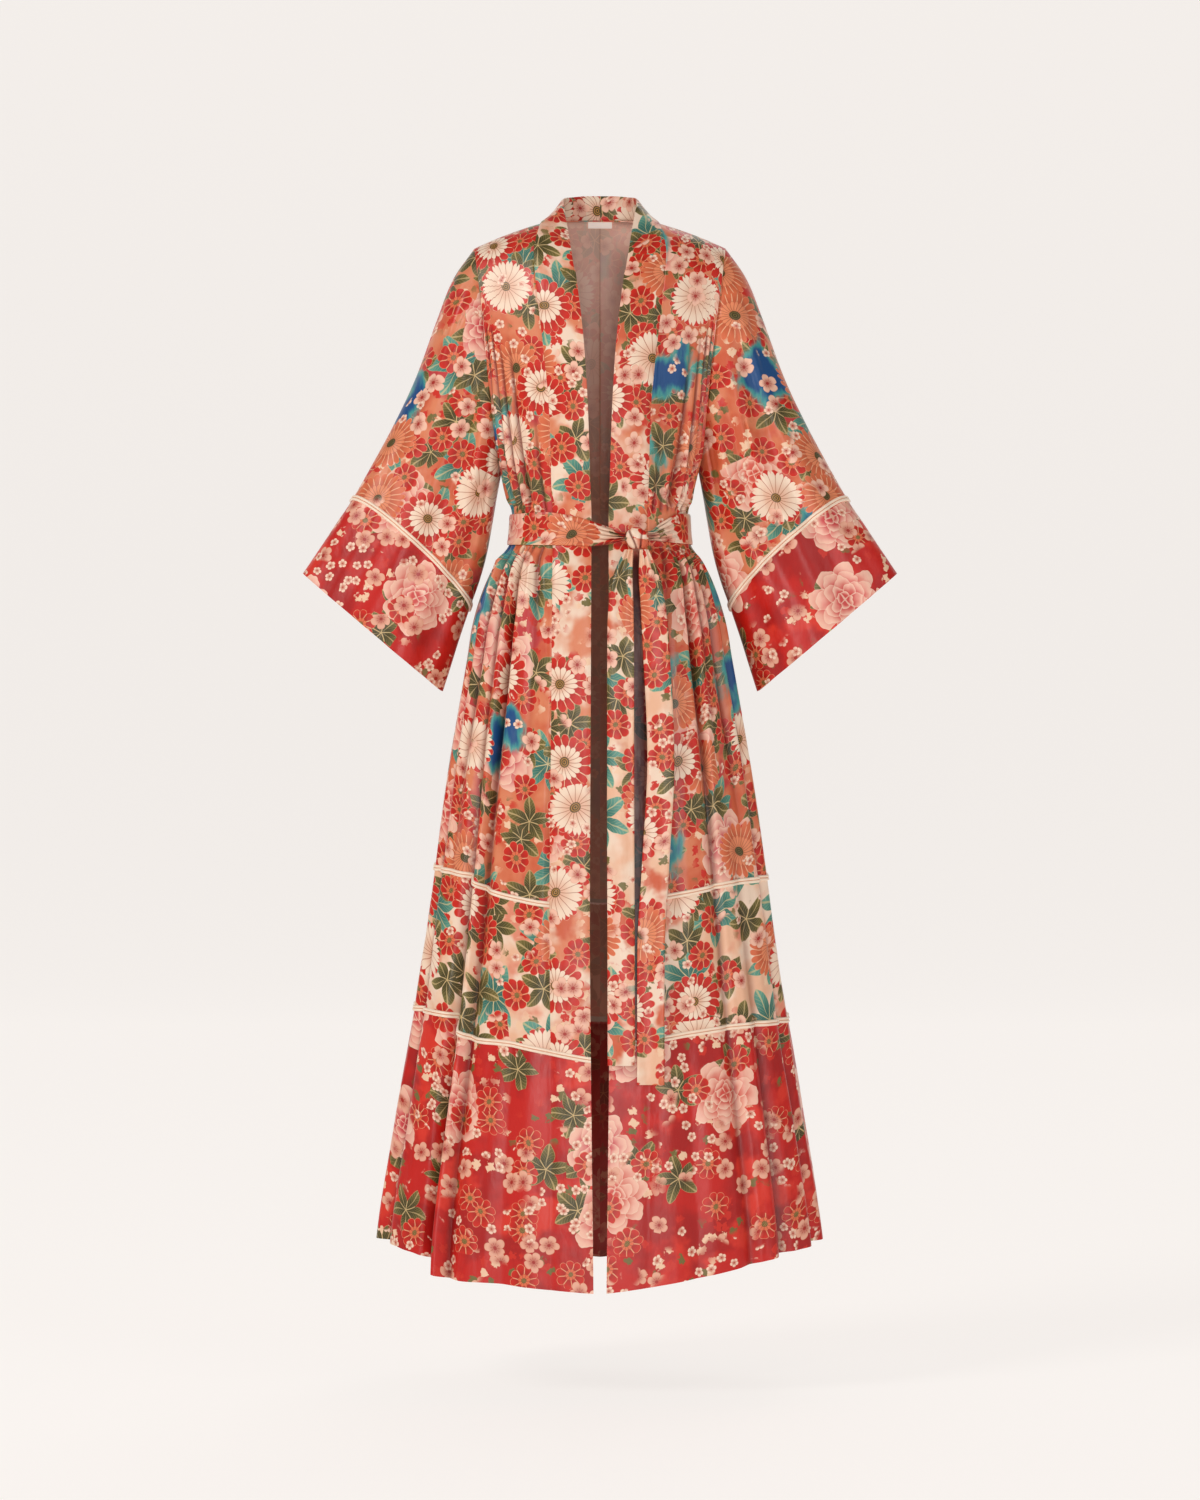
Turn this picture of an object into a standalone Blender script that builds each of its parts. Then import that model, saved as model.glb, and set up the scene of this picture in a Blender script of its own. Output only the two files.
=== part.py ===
"""A long kimono robe with a tie belt, worn open, as it stands filled out.

Metres, +Z up. The front faces -Y and the wearer's left side is +X. Heights in the tables are
measured up from the hem at the centre front. The model's origin is between the shoulders, where
the wearer holds the robe up.
"""

import math

import bmesh
import bpy
import numpy as np

for old in list(bpy.data.objects):
    bpy.data.objects.remove(old, do_unlink=True)

# Driving sizes
SHOULDER_HEIGHT = 1.400
UNDERARM_HEIGHT = 1.086
NECK_POINT_HEIGHT = 1.412
NECK_HALF_WIDTH = 0.080
NAPE_DEPTH = 0.072
NAPE_RISE = 0.010
UNDERARM_HALF_WIDTH = 0.131
SHOULDER_HALF_WIDTH = 0.168
SHOULDER_DROP = 0.033
ARMHOLE_HALF_DEPTH = 0.058
ARMHOLE_POWER = 2.2
CHEST_FRONT = 0.116
CHEST_BACK = 0.100
SHOULDER_CURVE = 2.6
RING_POWER = 2.4
CLOTH = 0.0016
BAND_CLOTH = 0.0024
SEAM_GAP = 0.0003
BELT_BOTTOM = 0.983
BELT_TOP = 1.023
BELT_CLOTH = 0.0020
BELT_CLEARANCE = 0.0018
PIPING_WIDTH = 0.008
PIPING_CLOTH = 0.0018
PIPING_CLEARANCE = 0.0006
LABEL_HALF_WIDTH = 0.016
LABEL_CLOTH = 0.0008
SIDES = {"left": 1, "right": -1}


def smooth_read(keys, values, at):
    """Reads a smooth curve through the rows of a table, with no overshoot between them."""
    step = np.diff(keys)
    slope = np.diff(values) / step
    inner = (slope[:-1] + slope[1:]) / 2
    limit = 3 * np.minimum(np.abs(slope[:-1]), np.abs(slope[1:]))
    inner = np.sign(inner) * np.minimum(np.abs(inner), limit)
    inner[slope[:-1] * slope[1:] <= 0] = 0
    tangent = np.concatenate([slope[:1], inner, slope[-1:]])
    at = np.clip(at, keys[0], keys[-1])
    row = np.clip(np.searchsorted(keys, at, side="right") - 1, 0, len(step) - 1)
    part = (at - keys[row]) / step[row]
    rise = part * part * (3 - 2 * part)
    lead = step[row] * part * (1 - part) ** 2 * tangent[row]
    trail = step[row] * part * part * (part - 1) * tangent[row + 1]
    return values[row] * (1 - rise) + values[row + 1] * rise + lead + trail


class Table:
    """Sizes under named columns, read between the rows by the first column."""

    def __init__(self, columns, *rows):
        self.columns = columns.split()
        self.rows = np.array(sorted(rows), dtype=float)

    def read(self, column, at):
        values = self.rows[:, self.columns.index(column)]
        return smooth_read(self.rows[:, 0], values, np.asarray(at, dtype=float))


# Half width and depths of the body's rings, from the hem to the underarm
BODY = Table(
    "height half_width front back",
    (0.000, 0.300, 0.182, 0.186),
    (0.065, 0.296, 0.179, 0.183),
    (0.220, 0.272, 0.168, 0.170),
    (0.368, 0.248, 0.156, 0.158),
    (0.554, 0.221, 0.142, 0.145),
    (0.684, 0.202, 0.134, 0.136),
    (0.834, 0.176, 0.127, 0.127),
    (0.880, 0.168, 0.124, 0.122),
    (0.931, 0.151, 0.117, 0.112),
    (0.965, 0.134, 0.107, 0.098),
    (BELT_BOTTOM, 0.1215, 0.099, 0.086),
    (BELT_TOP, 0.1180, 0.097, 0.083),
    (1.040, 0.1200, 0.099, 0.087),
    (UNDERARM_HEIGHT, UNDERARM_HALF_WIDTH, 0.108, CHEST_BACK),
)
# Half of the front opening, and the band's outer seam, from the hem to the shoulder
OPENING = Table(
    "height half_gap seam",
    (0.000, 0.0085, 0.0640),
    (0.310, 0.0120, 0.0650),
    (0.480, 0.0133, 0.0665),
    (0.810, 0.0120, 0.0640),
    (1.020, 0.0113, 0.0630),
    (1.070, 0.0130, 0.0650),
    (1.150, 0.0155, 0.0670),
    (1.200, 0.0180, 0.0710),
    (1.257, 0.0224, 0.0770),
    (1.299, 0.0273, 0.0820),
    (1.340, 0.0330, 0.0860),
    (1.374, 0.0386, 0.0880),
    (NECK_POINT_HEIGHT, 0.0485, NECK_HALF_WIDTH),
)
# The band's free edge where it leaves the chest and stands up round the neck
FREE_EDGE = Table(
    "height x y z",
    (1.340, 0.0330, -0.0873, 1.3400),
    (1.374, 0.0386, -0.0660, 1.3760),
    (1.400, 0.0435, -0.0300, 1.4080),
    (NECK_POINT_HEIGHT, 0.0485, -0.0020, 1.4360),
)
# The same edge behind the neck, by the distance of the neck seam from the centre back
NAPE_EDGE = Table(
    "seam x y z",
    (0.0000, 0.0000, 0.0790, 1.4550),
    (0.0257, 0.0220, 0.0730, 1.4545),
    (0.0454, 0.0380, 0.0570, 1.4520),
    (0.0632, 0.0480, 0.0340, 1.4490),
    (0.0741, 0.0495, 0.0150, 1.4440),
    (NECK_HALF_WIDTH, 0.0485, -0.0020, 1.4360),
)
# Heights of the two piping lines and the hem, by the angle from the centre front
TIERS = Table(
    "angle upper_right upper_left lower_right lower_left hem_right hem_left",
    (0, 0.503, 0.508, 0.304, 0.322, 0.000, 0.000),
    (22, 0.514, 0.521, 0.325, 0.338, 0.012, 0.020),
    (43, 0.534, 0.533, 0.338, 0.347, 0.022, 0.039),
    (48, 0.545, 0.535, 0.360, 0.348, 0.040, 0.043),
    (90, 0.553, 0.540, 0.366, 0.350, 0.060, 0.060),
    (135, 0.530, 0.525, 0.352, 0.348, 0.034, 0.034),
    (180, 0.500, 0.500, 0.338, 0.338, 0.004, 0.004),
)
# Fold lines of a front: where each runs, as the angle from the centre front
FRONT_FOLDS = (
    # chest, belt, hip, hem
    (31.0, 31.0, 22.0, 15.0),
    (36.0, 36.0, 27.0, 21.0),
    (41.0, 41.5, 32.0, 27.0),
    (46.0, 46.0, 37.0, 33.0),
    (50.5, 49.5, 41.0, 38.0),
    (55.0, 53.5, 45.0, 42.5),
    (59.0, 57.5, 49.0, 46.0),
    (63.0, 61.5, 54.0, 52.0),
    (67.0, 66.0, 59.0, 58.0),
    (71.0, 70.5, 64.0, 64.0),
    (75.5, 75.0, 69.5, 70.0),
    (80.0, 79.5, 75.5, 76.0),
    (85.0, 84.5, 82.5, 83.0),
)
# Fold lines of a back, as the angle from the centre back
BACK_FOLDS = (
    # chest, belt, hip, hem
    (6.0, 6.0, 5.5, 5.5),
    (12.0, 12.0, 11.0, 11.5),
    (18.0, 18.5, 17.0, 18.0),
    (22.0, 24.5, 23.0, 24.5),
    (24.2, 30.5, 29.0, 31.0),
    (31.5, 37.0, 35.0, 37.0),
    (39.0, 43.0, 41.0, 43.5),
    (46.5, 49.0, 47.0, 49.5),
    (54.0, 55.0, 53.0, 55.5),
    (61.0, 61.5, 60.0, 62.0),
    (68.0, 68.0, 67.0, 69.0),
    (75.0, 75.0, 74.0, 76.0),
    (82.0, 82.5, 82.0, 83.0),
)
# How far each fold line stands out or in, in millimetres
FOLD_DEPTHS = {
    ("front", "right"): (
        # chest, above belt, below belt, hip, tiers, hem
        (0, 1, 1, 1, 1, 2),
        (0, -1, -2, -1, -1, -3),
        (1, 2, 3, 2, 1, 2),
        (0, -2, 2, 4, 3, 6),
        (-2, -5, -8, -8, -4, -2),
        (2, 4, 4, 4, 5, 13),
        (0, -4, -3, 0, -9, -20),
        (3, 5, 4, 5, 2, -2),
        (-2, -5, -4, -2, 3, 6),
        (3, 4, 5, 5, 4, 7),
        (-3, -6, -8, -7, -4, -5),
        (2, 4, 4, 4, 5, 8),
        (-1, -3, -3, -2, -2, -4),
    ),
    ("front", "left"): (
        (0, 1, 1, 1, 1, 1),
        (0, -1, -1, -1, -1, -2),
        (1, 2, 2, 2, 1, 3),
        (0, -3, 3, 3, 2, 2),
        (-2, -6, -9, -7, -3, -4),
        (2, 4, 5, 4, 2, 3),
        (0, -5, -2, 1, 3, 6),
        (3, 5, 3, 2, -3, -9),
        (-2, -6, -5, -3, 2, 4),
        (3, 5, 6, 5, 4, 9),
        (-3, -5, -9, -6, -5, -8),
        (2, 4, 4, 4, 4, 6),
        (-1, -3, -3, -2, -2, -4),
    ),
    ("back", "right"): (
        (1, 2, 2, 2, 2, 4),
        (-1, -3, -3, -3, -3, -6),
        (1, 2, 3, 4, 4, 8),
        (0, -3, -5, -5, -4, -5),
        (1, 3, 4, 4, 4, 6),
        (-1, -4, -6, -6, -6, -12),
        (2, 4, 5, 6, 6, 10),
        (-1, -4, -6, -5, -3, -4),
        (2, 5, 4, 4, 3, 6),
        (-2, -6, -8, -7, -6, -9),
        (2, 4, 4, 4, 5, 8),
        (-1, -4, -4, -4, -4, -6),
        (1, 2, 2, 2, 2, 3),
    ),
    ("back", "left"): (
        (1, 1, 2, 2, 2, 3),
        (-1, -2, -2, -3, -4, -8),
        (1, 3, 4, 4, 3, 5),
        (0, -4, -6, -5, -3, -3),
        (1, 3, 3, 5, 5, 9),
        (-1, -3, -5, -6, -5, -8),
        (2, 4, 6, 5, 4, 6),
        (-1, -5, -8, -7, -6, -11),
        (2, 4, 5, 5, 5, 9),
        (-2, -5, -6, -5, -3, -4),
        (2, 5, 5, 4, 4, 6),
        (-1, -4, -5, -4, -3, -5),
        (1, 2, 2, 2, 2, 2),
    ),
}
FOLD_ANGLE_HEIGHTS = (1.150, 1.000, 0.880, 0.000)
FOLD_DEPTH_HEIGHTS = (1.170, 1.045, 0.955, 0.800, 0.450, 0.020)
FOLDS_END = 1.310
PRESSED_FROM = 0.978
PRESSED_TO = 1.028

# Rings of a sleeve and its cuff: the outer and the under edge, the half depth, how far the ring
# bows up towards the shoulder halfway round, and how strongly the sleeve's folds show there
SLEEVE = Table(
    "run outer_x outer_z under_x under_z depth bow folds",
    (0.00, 0.168, 1.379, 0.131, 1.086, 0.058, 0.000, 0.0),
    (0.14, 0.196, 1.338, 0.1335, 1.072, 0.062, 0.002, 0.3),
    (0.30, 0.218, 1.284, 0.1385, 1.045, 0.060, 0.004, 1.0),
    (0.48, 0.246, 1.208, 0.1445, 1.010, 0.056, 0.008, 1.0),
    (0.66, 0.274, 1.148, 0.1520, 0.970, 0.053, 0.012, 1.0),
    (0.83, 0.303, 1.094, 0.1620, 0.934, 0.051, 0.016, 1.0),
    (1.00, 0.332, 1.043, 0.1750, 0.8976, 0.050, 0.018, 1.0),
    (1.20, 0.353, 1.012, 0.1870, 0.8620, 0.049, 0.012, 0.9),
    (1.40, 0.375, 0.979, 0.1985, 0.8250, 0.048, 0.006, 0.8),
    (1.60, 0.398, 0.945, 0.2105, 0.7870, 0.047, 0.000, 0.7),
)
SLEEVE_RUNS = (0.0, 0.14, 0.30, 0.48, 0.66, 0.83, 1.0)
CUFF_RUNS = (1.0, 1.2, 1.4, 1.6)
# Folds along a sleeve in millimetres, by how high they lie between the under and the outer edge
SLEEVE_FOLDS = Table(
    "up front back",
    (0.00, 0, 0),
    (0.08, 1, 1),
    (0.16, -3, -2),
    (0.28, 4, 3),
    (0.42, -4, -4),
    (0.56, 4, 3),
    (0.70, -4, -3),
    (0.82, 3, 2),
    (0.90, -1, -1),
    (1.00, 0, 0),
)
# How far up each cross row lies: as parts of a tier below the belt, and of the armhole above it
HEM_ROWS = (0.0, 0.18, 0.42, 0.70, 1.0)
MIDDLE_ROWS = (0.0, 0.33, 0.67, 1.0)
SKIRT_ROWS = (0.0, 0.22, 0.45, 0.66, 0.80, 0.90, 1.0)
WAIST_HEIGHTS = (PRESSED_FROM, BELT_BOTTOM, BELT_TOP, PRESSED_TO, 1.050)
ARMHOLE_ROWS = (0.0, 0.03, 0.08, 0.16, 0.28, 0.42, 0.56, 0.70, 0.82, 0.90, 0.96, 1.0)

# The belt on its way round, by the angle from the knot: its edges and how thick it is gathered
KNOT_X = 0.0490
KNOT_HEIGHT = 0.9890
KNOT_HALF_WIDTH = 0.0165
KNOT_HALF_HEIGHT = 0.0135
KNOT_DEPTH = 0.0190
BELT_FRONT = Table(
    "x bottom top gathered",
    (-0.1170, 0.9830, 1.0230, 0.000),
    (-0.0735, 0.9830, 1.0250, 0.000),
    (-0.0400, 0.9815, 1.0160, 0.001),
    (-0.0050, 0.9805, 1.0080, 0.003),
    (0.0320, 0.9810, 0.9980, 0.006),
    (0.0660, 0.9820, 0.9975, 0.006),
    (0.0800, 0.9815, 1.0060, 0.003),
    (0.0950, 0.9810, 1.0150, 0.001),
    (0.1170, 0.9805, 1.0230, 0.000),
)
# The belt's hanging ends: the middle of the tail and its half width at each height
TAILS = {
    "right": Table(
        "height x half_width gathered",
        (0.9757, 0.0380, 0.0060, 0.0050),
        (0.9400, 0.0300, 0.0130, 0.0030),
        (0.9000, 0.0275, 0.0165, 0.0010),
        (0.8500, 0.0270, 0.0175, 0.0000),
        (0.7000, 0.0270, 0.0178, 0.0000),
        (0.5000, 0.0275, 0.0180, 0.0000),
        (0.2990, 0.0280, 0.0180, 0.0000),
    ),
    "left": Table(
        "height x half_width gathered",
        (0.9757, 0.0580, 0.0060, 0.0050),
        (0.9400, 0.0650, 0.0140, 0.0030),
        (0.9000, 0.0700, 0.0165, 0.0010),
        (0.8500, 0.0735, 0.0175, 0.0000),
        (0.7000, 0.0800, 0.0178, 0.0000),
        (0.5600, 0.0730, 0.0180, 0.0000),
        (0.4500, 0.0670, 0.0180, 0.0000),
        (0.2740, 0.0665, 0.0180, 0.0000),
    ),
}
TAIL_CLEARANCE = 0.0050
TAIL_RIPPLE = 0.0020
TAIL_ROWS = 16
KNOT_CENTRE_Y = -0.1120
ARMHOLE_GAP = 0.0004
UNDERARM_GAP = 0.0008
BOW_ACROSS = 0.5
BOW_UP = 0.86
LABEL_GAP = 0.0008
LABEL_PARTS = (0.35, 0.90)

COLOURS = {
    "floral": (0.78, 0.36, 0.24),
    "middle": (0.80, 0.58, 0.44),
    "border": (0.55, 0.06, 0.045),
    "piping": (0.86, 0.66, 0.50),
    "label": (0.85, 0.80, 0.74),
}


def material(name):
    """A satin cloth of one of the robe's colours."""
    made = bpy.data.materials.get(name)
    if made is None:
        made = bpy.data.materials.new(name)
        made.use_nodes = True
        shader = made.node_tree.nodes["Principled BSDF"]
        shader.inputs["Base Color"].default_value = (*COLOURS[name], 1.0)
        shader.inputs["Roughness"].default_value = 0.45
        shader.inputs["Metallic"].default_value = 0.0
    return made


def body_object(name, points, faces, finish):
    """Makes a closed mesh object; points are measured from the hem, the mesh from the shoulders."""
    mesh = bpy.data.meshes.new(name)
    shifted = np.asarray(points, dtype=float) - (0.0, 0.0, SHOULDER_HEIGHT)
    mesh.from_pydata(shifted.tolist(), [], faces)
    work = bmesh.new()
    work.from_mesh(mesh)
    bmesh.ops.recalc_face_normals(work, faces=work.faces[:])
    work.to_mesh(mesh)
    work.free()
    mesh.shade_smooth()
    mesh.set_sharp_from_angle(angle=math.radians(50))
    made = bpy.data.objects.new(name, mesh)
    made.data.materials.append(material(finish))
    bpy.context.scene.collection.objects.link(made)
    return made


def wall(name, outer, inner, finish, closed=False):
    """A sheet of cloth: an outer and an inner grid of points, joined all round their rims."""
    rows, columns = outer.shape[:2]
    points = np.concatenate([outer.reshape(-1, 3), inner.reshape(-1, 3)])
    half = rows * columns
    spans = columns if closed else columns - 1
    faces = []
    for r in range(rows - 1):
        for c in range(spans):
            n = (c + 1) % columns
            quad = (r * columns + c, r * columns + n, (r + 1) * columns + n, (r + 1) * columns + c)
            faces.append(quad)
            faces.append(tuple(half + i for i in reversed(quad)))
    for r in (0, rows - 1):
        for c in range(spans):
            a = r * columns + c
            b = r * columns + (c + 1) % columns
            faces.append((a, b, half + b, half + a))
    if not closed:
        for c in (0, columns - 1):
            for r in range(rows - 1):
                a = r * columns + c
                b = a + columns
                faces.append((a, b, half + b, half + a))
    return body_object(name, points, faces, finish)


def unit(vectors):
    return vectors / np.maximum(np.linalg.norm(vectors, axis=-1, keepdims=True), 1e-9)


def grid_normals(points, closed=False):
    """Unit normals of a grid of points, from its rows and columns."""
    if closed:
        across = np.roll(points, -1, axis=1) - np.roll(points, 1, axis=1)
    else:
        across = np.gradient(points, axis=1)
    along = np.gradient(points, axis=0)
    return unit(np.cross(across, along))


def ring_parts(angle):
    """How far across and how far forward a point of a unit ring lies at an angle."""
    turn = np.radians(angle)
    across = np.abs(np.sin(turn)) ** (2 / RING_POWER)
    forward = np.abs(np.cos(turn)) ** (2 / RING_POWER)
    return across, forward


def ring_angle(share):
    """The angle at which a ring reaches this share of its half width."""
    return np.degrees(np.arcsin(np.clip(share, 0, 1) ** (RING_POWER / 2)))


def armhole_part(height):
    return np.clip((height - UNDERARM_HEIGHT) / (NECK_POINT_HEIGHT - UNDERARM_HEIGHT), 0, 1)


def half_width(height):
    """Half the body's width: its rings below the arms, the line of the armhole above."""
    part = armhole_part(height)
    above = UNDERARM_HALF_WIDTH + (SHOULDER_HALF_WIDTH - UNDERARM_HALF_WIDTH) * part
    return np.where(height > UNDERARM_HEIGHT, above, BODY.read("half_width", height))


def armhole_opening(part):
    """How far the armhole stands open to the front and the back at each part of its height."""
    return ARMHOLE_HALF_DEPTH * (1 - np.abs(2 * part - 1) ** ARMHOLE_POWER) ** (1 / ARMHOLE_POWER)


def ridge(x):
    """Height of the shoulder line, and how far back the neckline is cut, at a distance from the centre."""
    share = np.clip(np.abs(x) / NECK_HALF_WIDTH, 0, 1)
    cut = np.sqrt(1 - share**2)
    slope = np.clip((np.abs(x) - NECK_HALF_WIDTH) / (SHOULDER_HALF_WIDTH - NECK_HALF_WIDTH), 0, 1)
    drop = SHOULDER_DROP * slope * (0.75 + 0.25 * slope)
    return NECK_POINT_HEIGHT + NAPE_RISE * cut - drop, NAPE_DEPTH * cut


def body_points(panel, side, angle, height):
    """Points of the smooth body; the angle is from the centre front, or from the centre back."""
    angle, height = np.broadcast_arrays(np.asarray(angle, float), np.asarray(height, float))
    across, forward = ring_parts(angle)
    width = half_width(height)
    x = width * across
    part = armhole_part(height)
    above = height > UNDERARM_HEIGHT
    arch = (1 - part**SHOULDER_CURVE) ** (1 / SHOULDER_CURVE)
    full = CHEST_FRONT if panel == "front" else CHEST_BACK
    start = BODY.read(panel, UNDERARM_HEIGHT)
    swell = start + (full - start) * np.minimum(part / 0.3, 1)
    opening = armhole_opening(part)
    easing = np.minimum(part / 0.3, 1)
    profile = forward * (1 - easing) + (1 - across**2) * easing
    top, cut = ridge(x)
    if panel == "front":
        cut = cut * 0
    depth_above = cut * (1 - arch) + opening + (swell * arch - opening) * profile
    depth = np.where(above, depth_above, BODY.read(panel, height) * forward)
    z = np.where(above, UNDERARM_HEIGHT + part * (top - UNDERARM_HEIGHT), height)
    facing = -1 if panel == "front" else 1
    return np.stack([side * x, facing * depth, z], axis=-1)


def fold_lines(panel, side_name, height):
    """Angle and depth of every fold line at these heights, the lines on the last axis."""
    places = np.array(FRONT_FOLDS if panel == "front" else BACK_FOLDS)
    depths = np.array(FOLD_DEPTHS[panel, side_name], dtype=float) / 1000
    angle_heights = np.array(FOLD_ANGLE_HEIGHTS[::-1])
    stops = (NECK_POINT_HEIGHT, FOLDS_END, *FOLD_DEPTH_HEIGHTS[:2], PRESSED_TO, PRESSED_FROM)
    depth_heights = np.array((*stops, *FOLD_DEPTH_HEIGHTS[2:], -0.001))[::-1]
    angles = []
    sizes = []
    for line, depth in zip(places, depths):
        angles.append(np.interp(height, angle_heights, line[::-1]))
        shown = (0, 0, depth[0], depth[1], 0, 0, *depth[2:], depth[5])
        sizes.append(np.interp(height, depth_heights, shown[::-1]))
    return np.stack(angles, axis=-1), np.stack(sizes, axis=-1)


def fold_depth(panel, side_name, angle, height):
    """How far the folds push the cloth out, between the fold lines in a smooth wave."""
    lines, sizes = fold_lines(panel, side_name, height)
    edge = ring_angle(OPENING.read("seam", height) / half_width(height)) if panel == "front" else 0
    first = (np.zeros(angle.shape) + edge)[..., None]
    lines = np.concatenate([first, lines, np.full(first.shape, 90.0)], axis=-1)
    sizes = np.concatenate([first * 0, sizes, first * 0], axis=-1)
    pushed = np.zeros(angle.shape)
    for k in range(lines.shape[-1] - 1):
        low = lines[..., k]
        part = np.clip((angle - low) / np.maximum(lines[..., k + 1] - low, 1e-6), 0, 1)
        wave = 0.5 - 0.5 * np.cos(np.pi * part)
        inside = (angle >= low) & (angle <= lines[..., k + 1])
        pushed = np.where(inside, sizes[..., k] * (1 - wave) + sizes[..., k + 1] * wave, pushed)
    return pushed


def outward(panel, side, angle, height):
    """Level unit directions that point away from the body."""
    across, forward = ring_parts(angle)
    width = half_width(height)
    depth = np.maximum(BODY.read(panel, np.minimum(height, UNDERARM_HEIGHT)), 0.05)
    facing = -1 if panel == "front" else 1
    level = np.stack(
        [
            side * across ** (RING_POWER - 1) / width,
            facing * forward ** (RING_POWER - 1) / depth,
            np.zeros(across.shape),
        ],
        axis=-1,
    )
    return unit(level)


def draped_points(panel, side_name, angle, height):
    """Points of the cloth with its folds."""
    side = SIDES[side_name]
    smooth = body_points(panel, side, angle, height)
    pushed = fold_depth(panel, side_name, angle, height)
    return smooth + outward(panel, side, angle, height) * pushed[..., None]


def tier_height(line, side_name, panel, angle):
    """Height of a piping line or the hem at an angle of the front or the back."""
    turned = angle if panel == "front" else 180 - angle
    return TIERS.read(f"{line}_{side_name}", turned)


def column_angles(panel, side_name, height):
    """The angles of a panel's columns at a row of heights: its edges and its fold lines."""
    lines, _ = fold_lines(panel, side_name, height)
    if panel == "back":
        first = [np.zeros(height.shape)]
    else:
        width = half_width(height)
        seam = ring_angle(OPENING.read("seam", height) / width)
        gap = ring_angle(OPENING.read("half_gap", height) / width)
        first = [gap, (gap + seam) / 2, seam]
    columns = first + [lines[..., k] for k in range(lines.shape[-1])]
    columns.append(np.full(height.shape, 90.0))
    return columns


def half_body(panel, side_name):
    """Grids of the outer and inner points of a whole front or back, and the rows where it is cut."""
    side = SIDES[side_name]
    nominal = [("hem", "lower", part) for part in HEM_ROWS]
    nominal += [("lower", "upper", part) for part in MIDDLE_ROWS[1:]]
    nominal += [("upper", None, part) for part in SKIRT_ROWS[1:]]
    angles = []
    heights = []
    for low, high, part in nominal:
        height = 0.5
        for _ in range(4):
            columns = column_angles(panel, side_name, np.zeros(1) + height)
            angle = np.stack(np.broadcast_arrays(*columns), axis=-1)
            angle = angle[0] if angle.shape[0] == 1 else np.diagonal(angle)
            bottom = tier_height(low, side_name, panel, angle)
            top = tier_height(high, side_name, panel, angle) if high else PRESSED_FROM
            height = bottom * (1 - part) + top * part
        angles.append(angle)
        heights.append(height)
    lift = NECK_POINT_HEIGHT - UNDERARM_HEIGHT
    level = list(WAIST_HEIGHTS[1:]) + [UNDERARM_HEIGHT + part * lift for part in ARMHOLE_ROWS]
    for row in level:
        columns = column_angles(panel, side_name, np.array([row]))
        angles.append(np.concatenate(columns))
        heights.append(np.full(len(columns), row))
    angle = np.array(angles)
    height = np.array(heights)
    outer = draped_points(panel, side_name, angle, height)
    if panel == "front":
        for r, row in enumerate(height[:, 0]):
            if row >= FREE_EDGE.rows[0, 0]:
                edge = np.array([FREE_EDGE.read(axis, row) for axis in "xyz"])
                outer[r, 0] = edge * (side, 1, 1)
                outer[r, 1] = (outer[r, 0] + outer[r, 2]) / 2
    normals = grid_normals(outer)
    away = outward(panel, side, angle, height)
    normals *= np.sign(np.sum(normals * (away + (0, 0, 0.5)), axis=-1, keepdims=True))
    below = height <= UNDERARM_HEIGHT
    normals[below, 2] = 0
    normals[below[:, -1], -1] = (side, 0, 0)
    normals[-1, 2 if panel == "front" else 5 :] = (0, 0, 1)
    if panel == "back":
        normals[:, 0, 0] = 0
    normals = unit(normals)
    inner = outer - normals * CLOTH
    cuts = {
        "hem": 0,
        "lower": len(HEM_ROWS) - 1,
        "upper": len(HEM_ROWS) + len(MIDDLE_ROWS) - 2,
        "top": len(angle) - 1,
    }
    return {"outer": outer, "inner": inner, "normals": normals, "cuts": cuts, "height": height}


def trimmed(grid, edges, gap=SEAM_GAP / 2):
    """Pulls the named edges of a grid in along the cloth, to leave room for the seam."""
    grid = grid.copy()
    pulls = {"bottom": (0, 1), "top": (-1, -2)}
    for edge in edges:
        if edge in pulls:
            rim, near = pulls[edge]
            grid[rim] += unit(grid[near] - grid[rim]) * gap
        else:
            rim, near = (0, 1) if edge == "first" else (-1, -2)
            grid[:, rim] += unit(grid[:, near] - grid[:, rim]) * gap
    return grid


def level_trim(grid, edge, gap=SEAM_GAP / 2):
    """Cuts an edge of both grids along one level plane, square through the cloth."""
    grid = grid.copy()
    if edge == "top":
        grid[-1, :, 2] -= gap
    else:
        grid[0, :, 2] += gap
    return grid


def panel_piece(name, body, rows, columns, finish, edges):
    """One cut piece of a front or back: a block of its grid, trimmed at its seams."""
    low, high = rows
    outer = body["outer"][low : high + 1, columns]
    inner = body["inner"][low : high + 1, columns]
    for edge in edges:
        if edge in ("level_bottom", "level_top"):
            outer = level_trim(outer, edge[6:])
            inner = level_trim(inner, edge[6:])
        else:
            outer = trimmed(outer, [edge])
            inner = trimmed(inner, [edge])
    return wall(name, outer, inner, finish)


def keep_off_side_seam(body, panel):
    """Moves the side seam's points half the seam gap off the plane between front and back."""
    facing = -1 if panel == "front" else 1
    under = body["height"][:, -1] <= UNDERARM_HEIGHT
    for grid in (body["outer"], body["inner"]):
        grid[under, -1, 1] = facing * SEAM_GAP / 2


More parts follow.
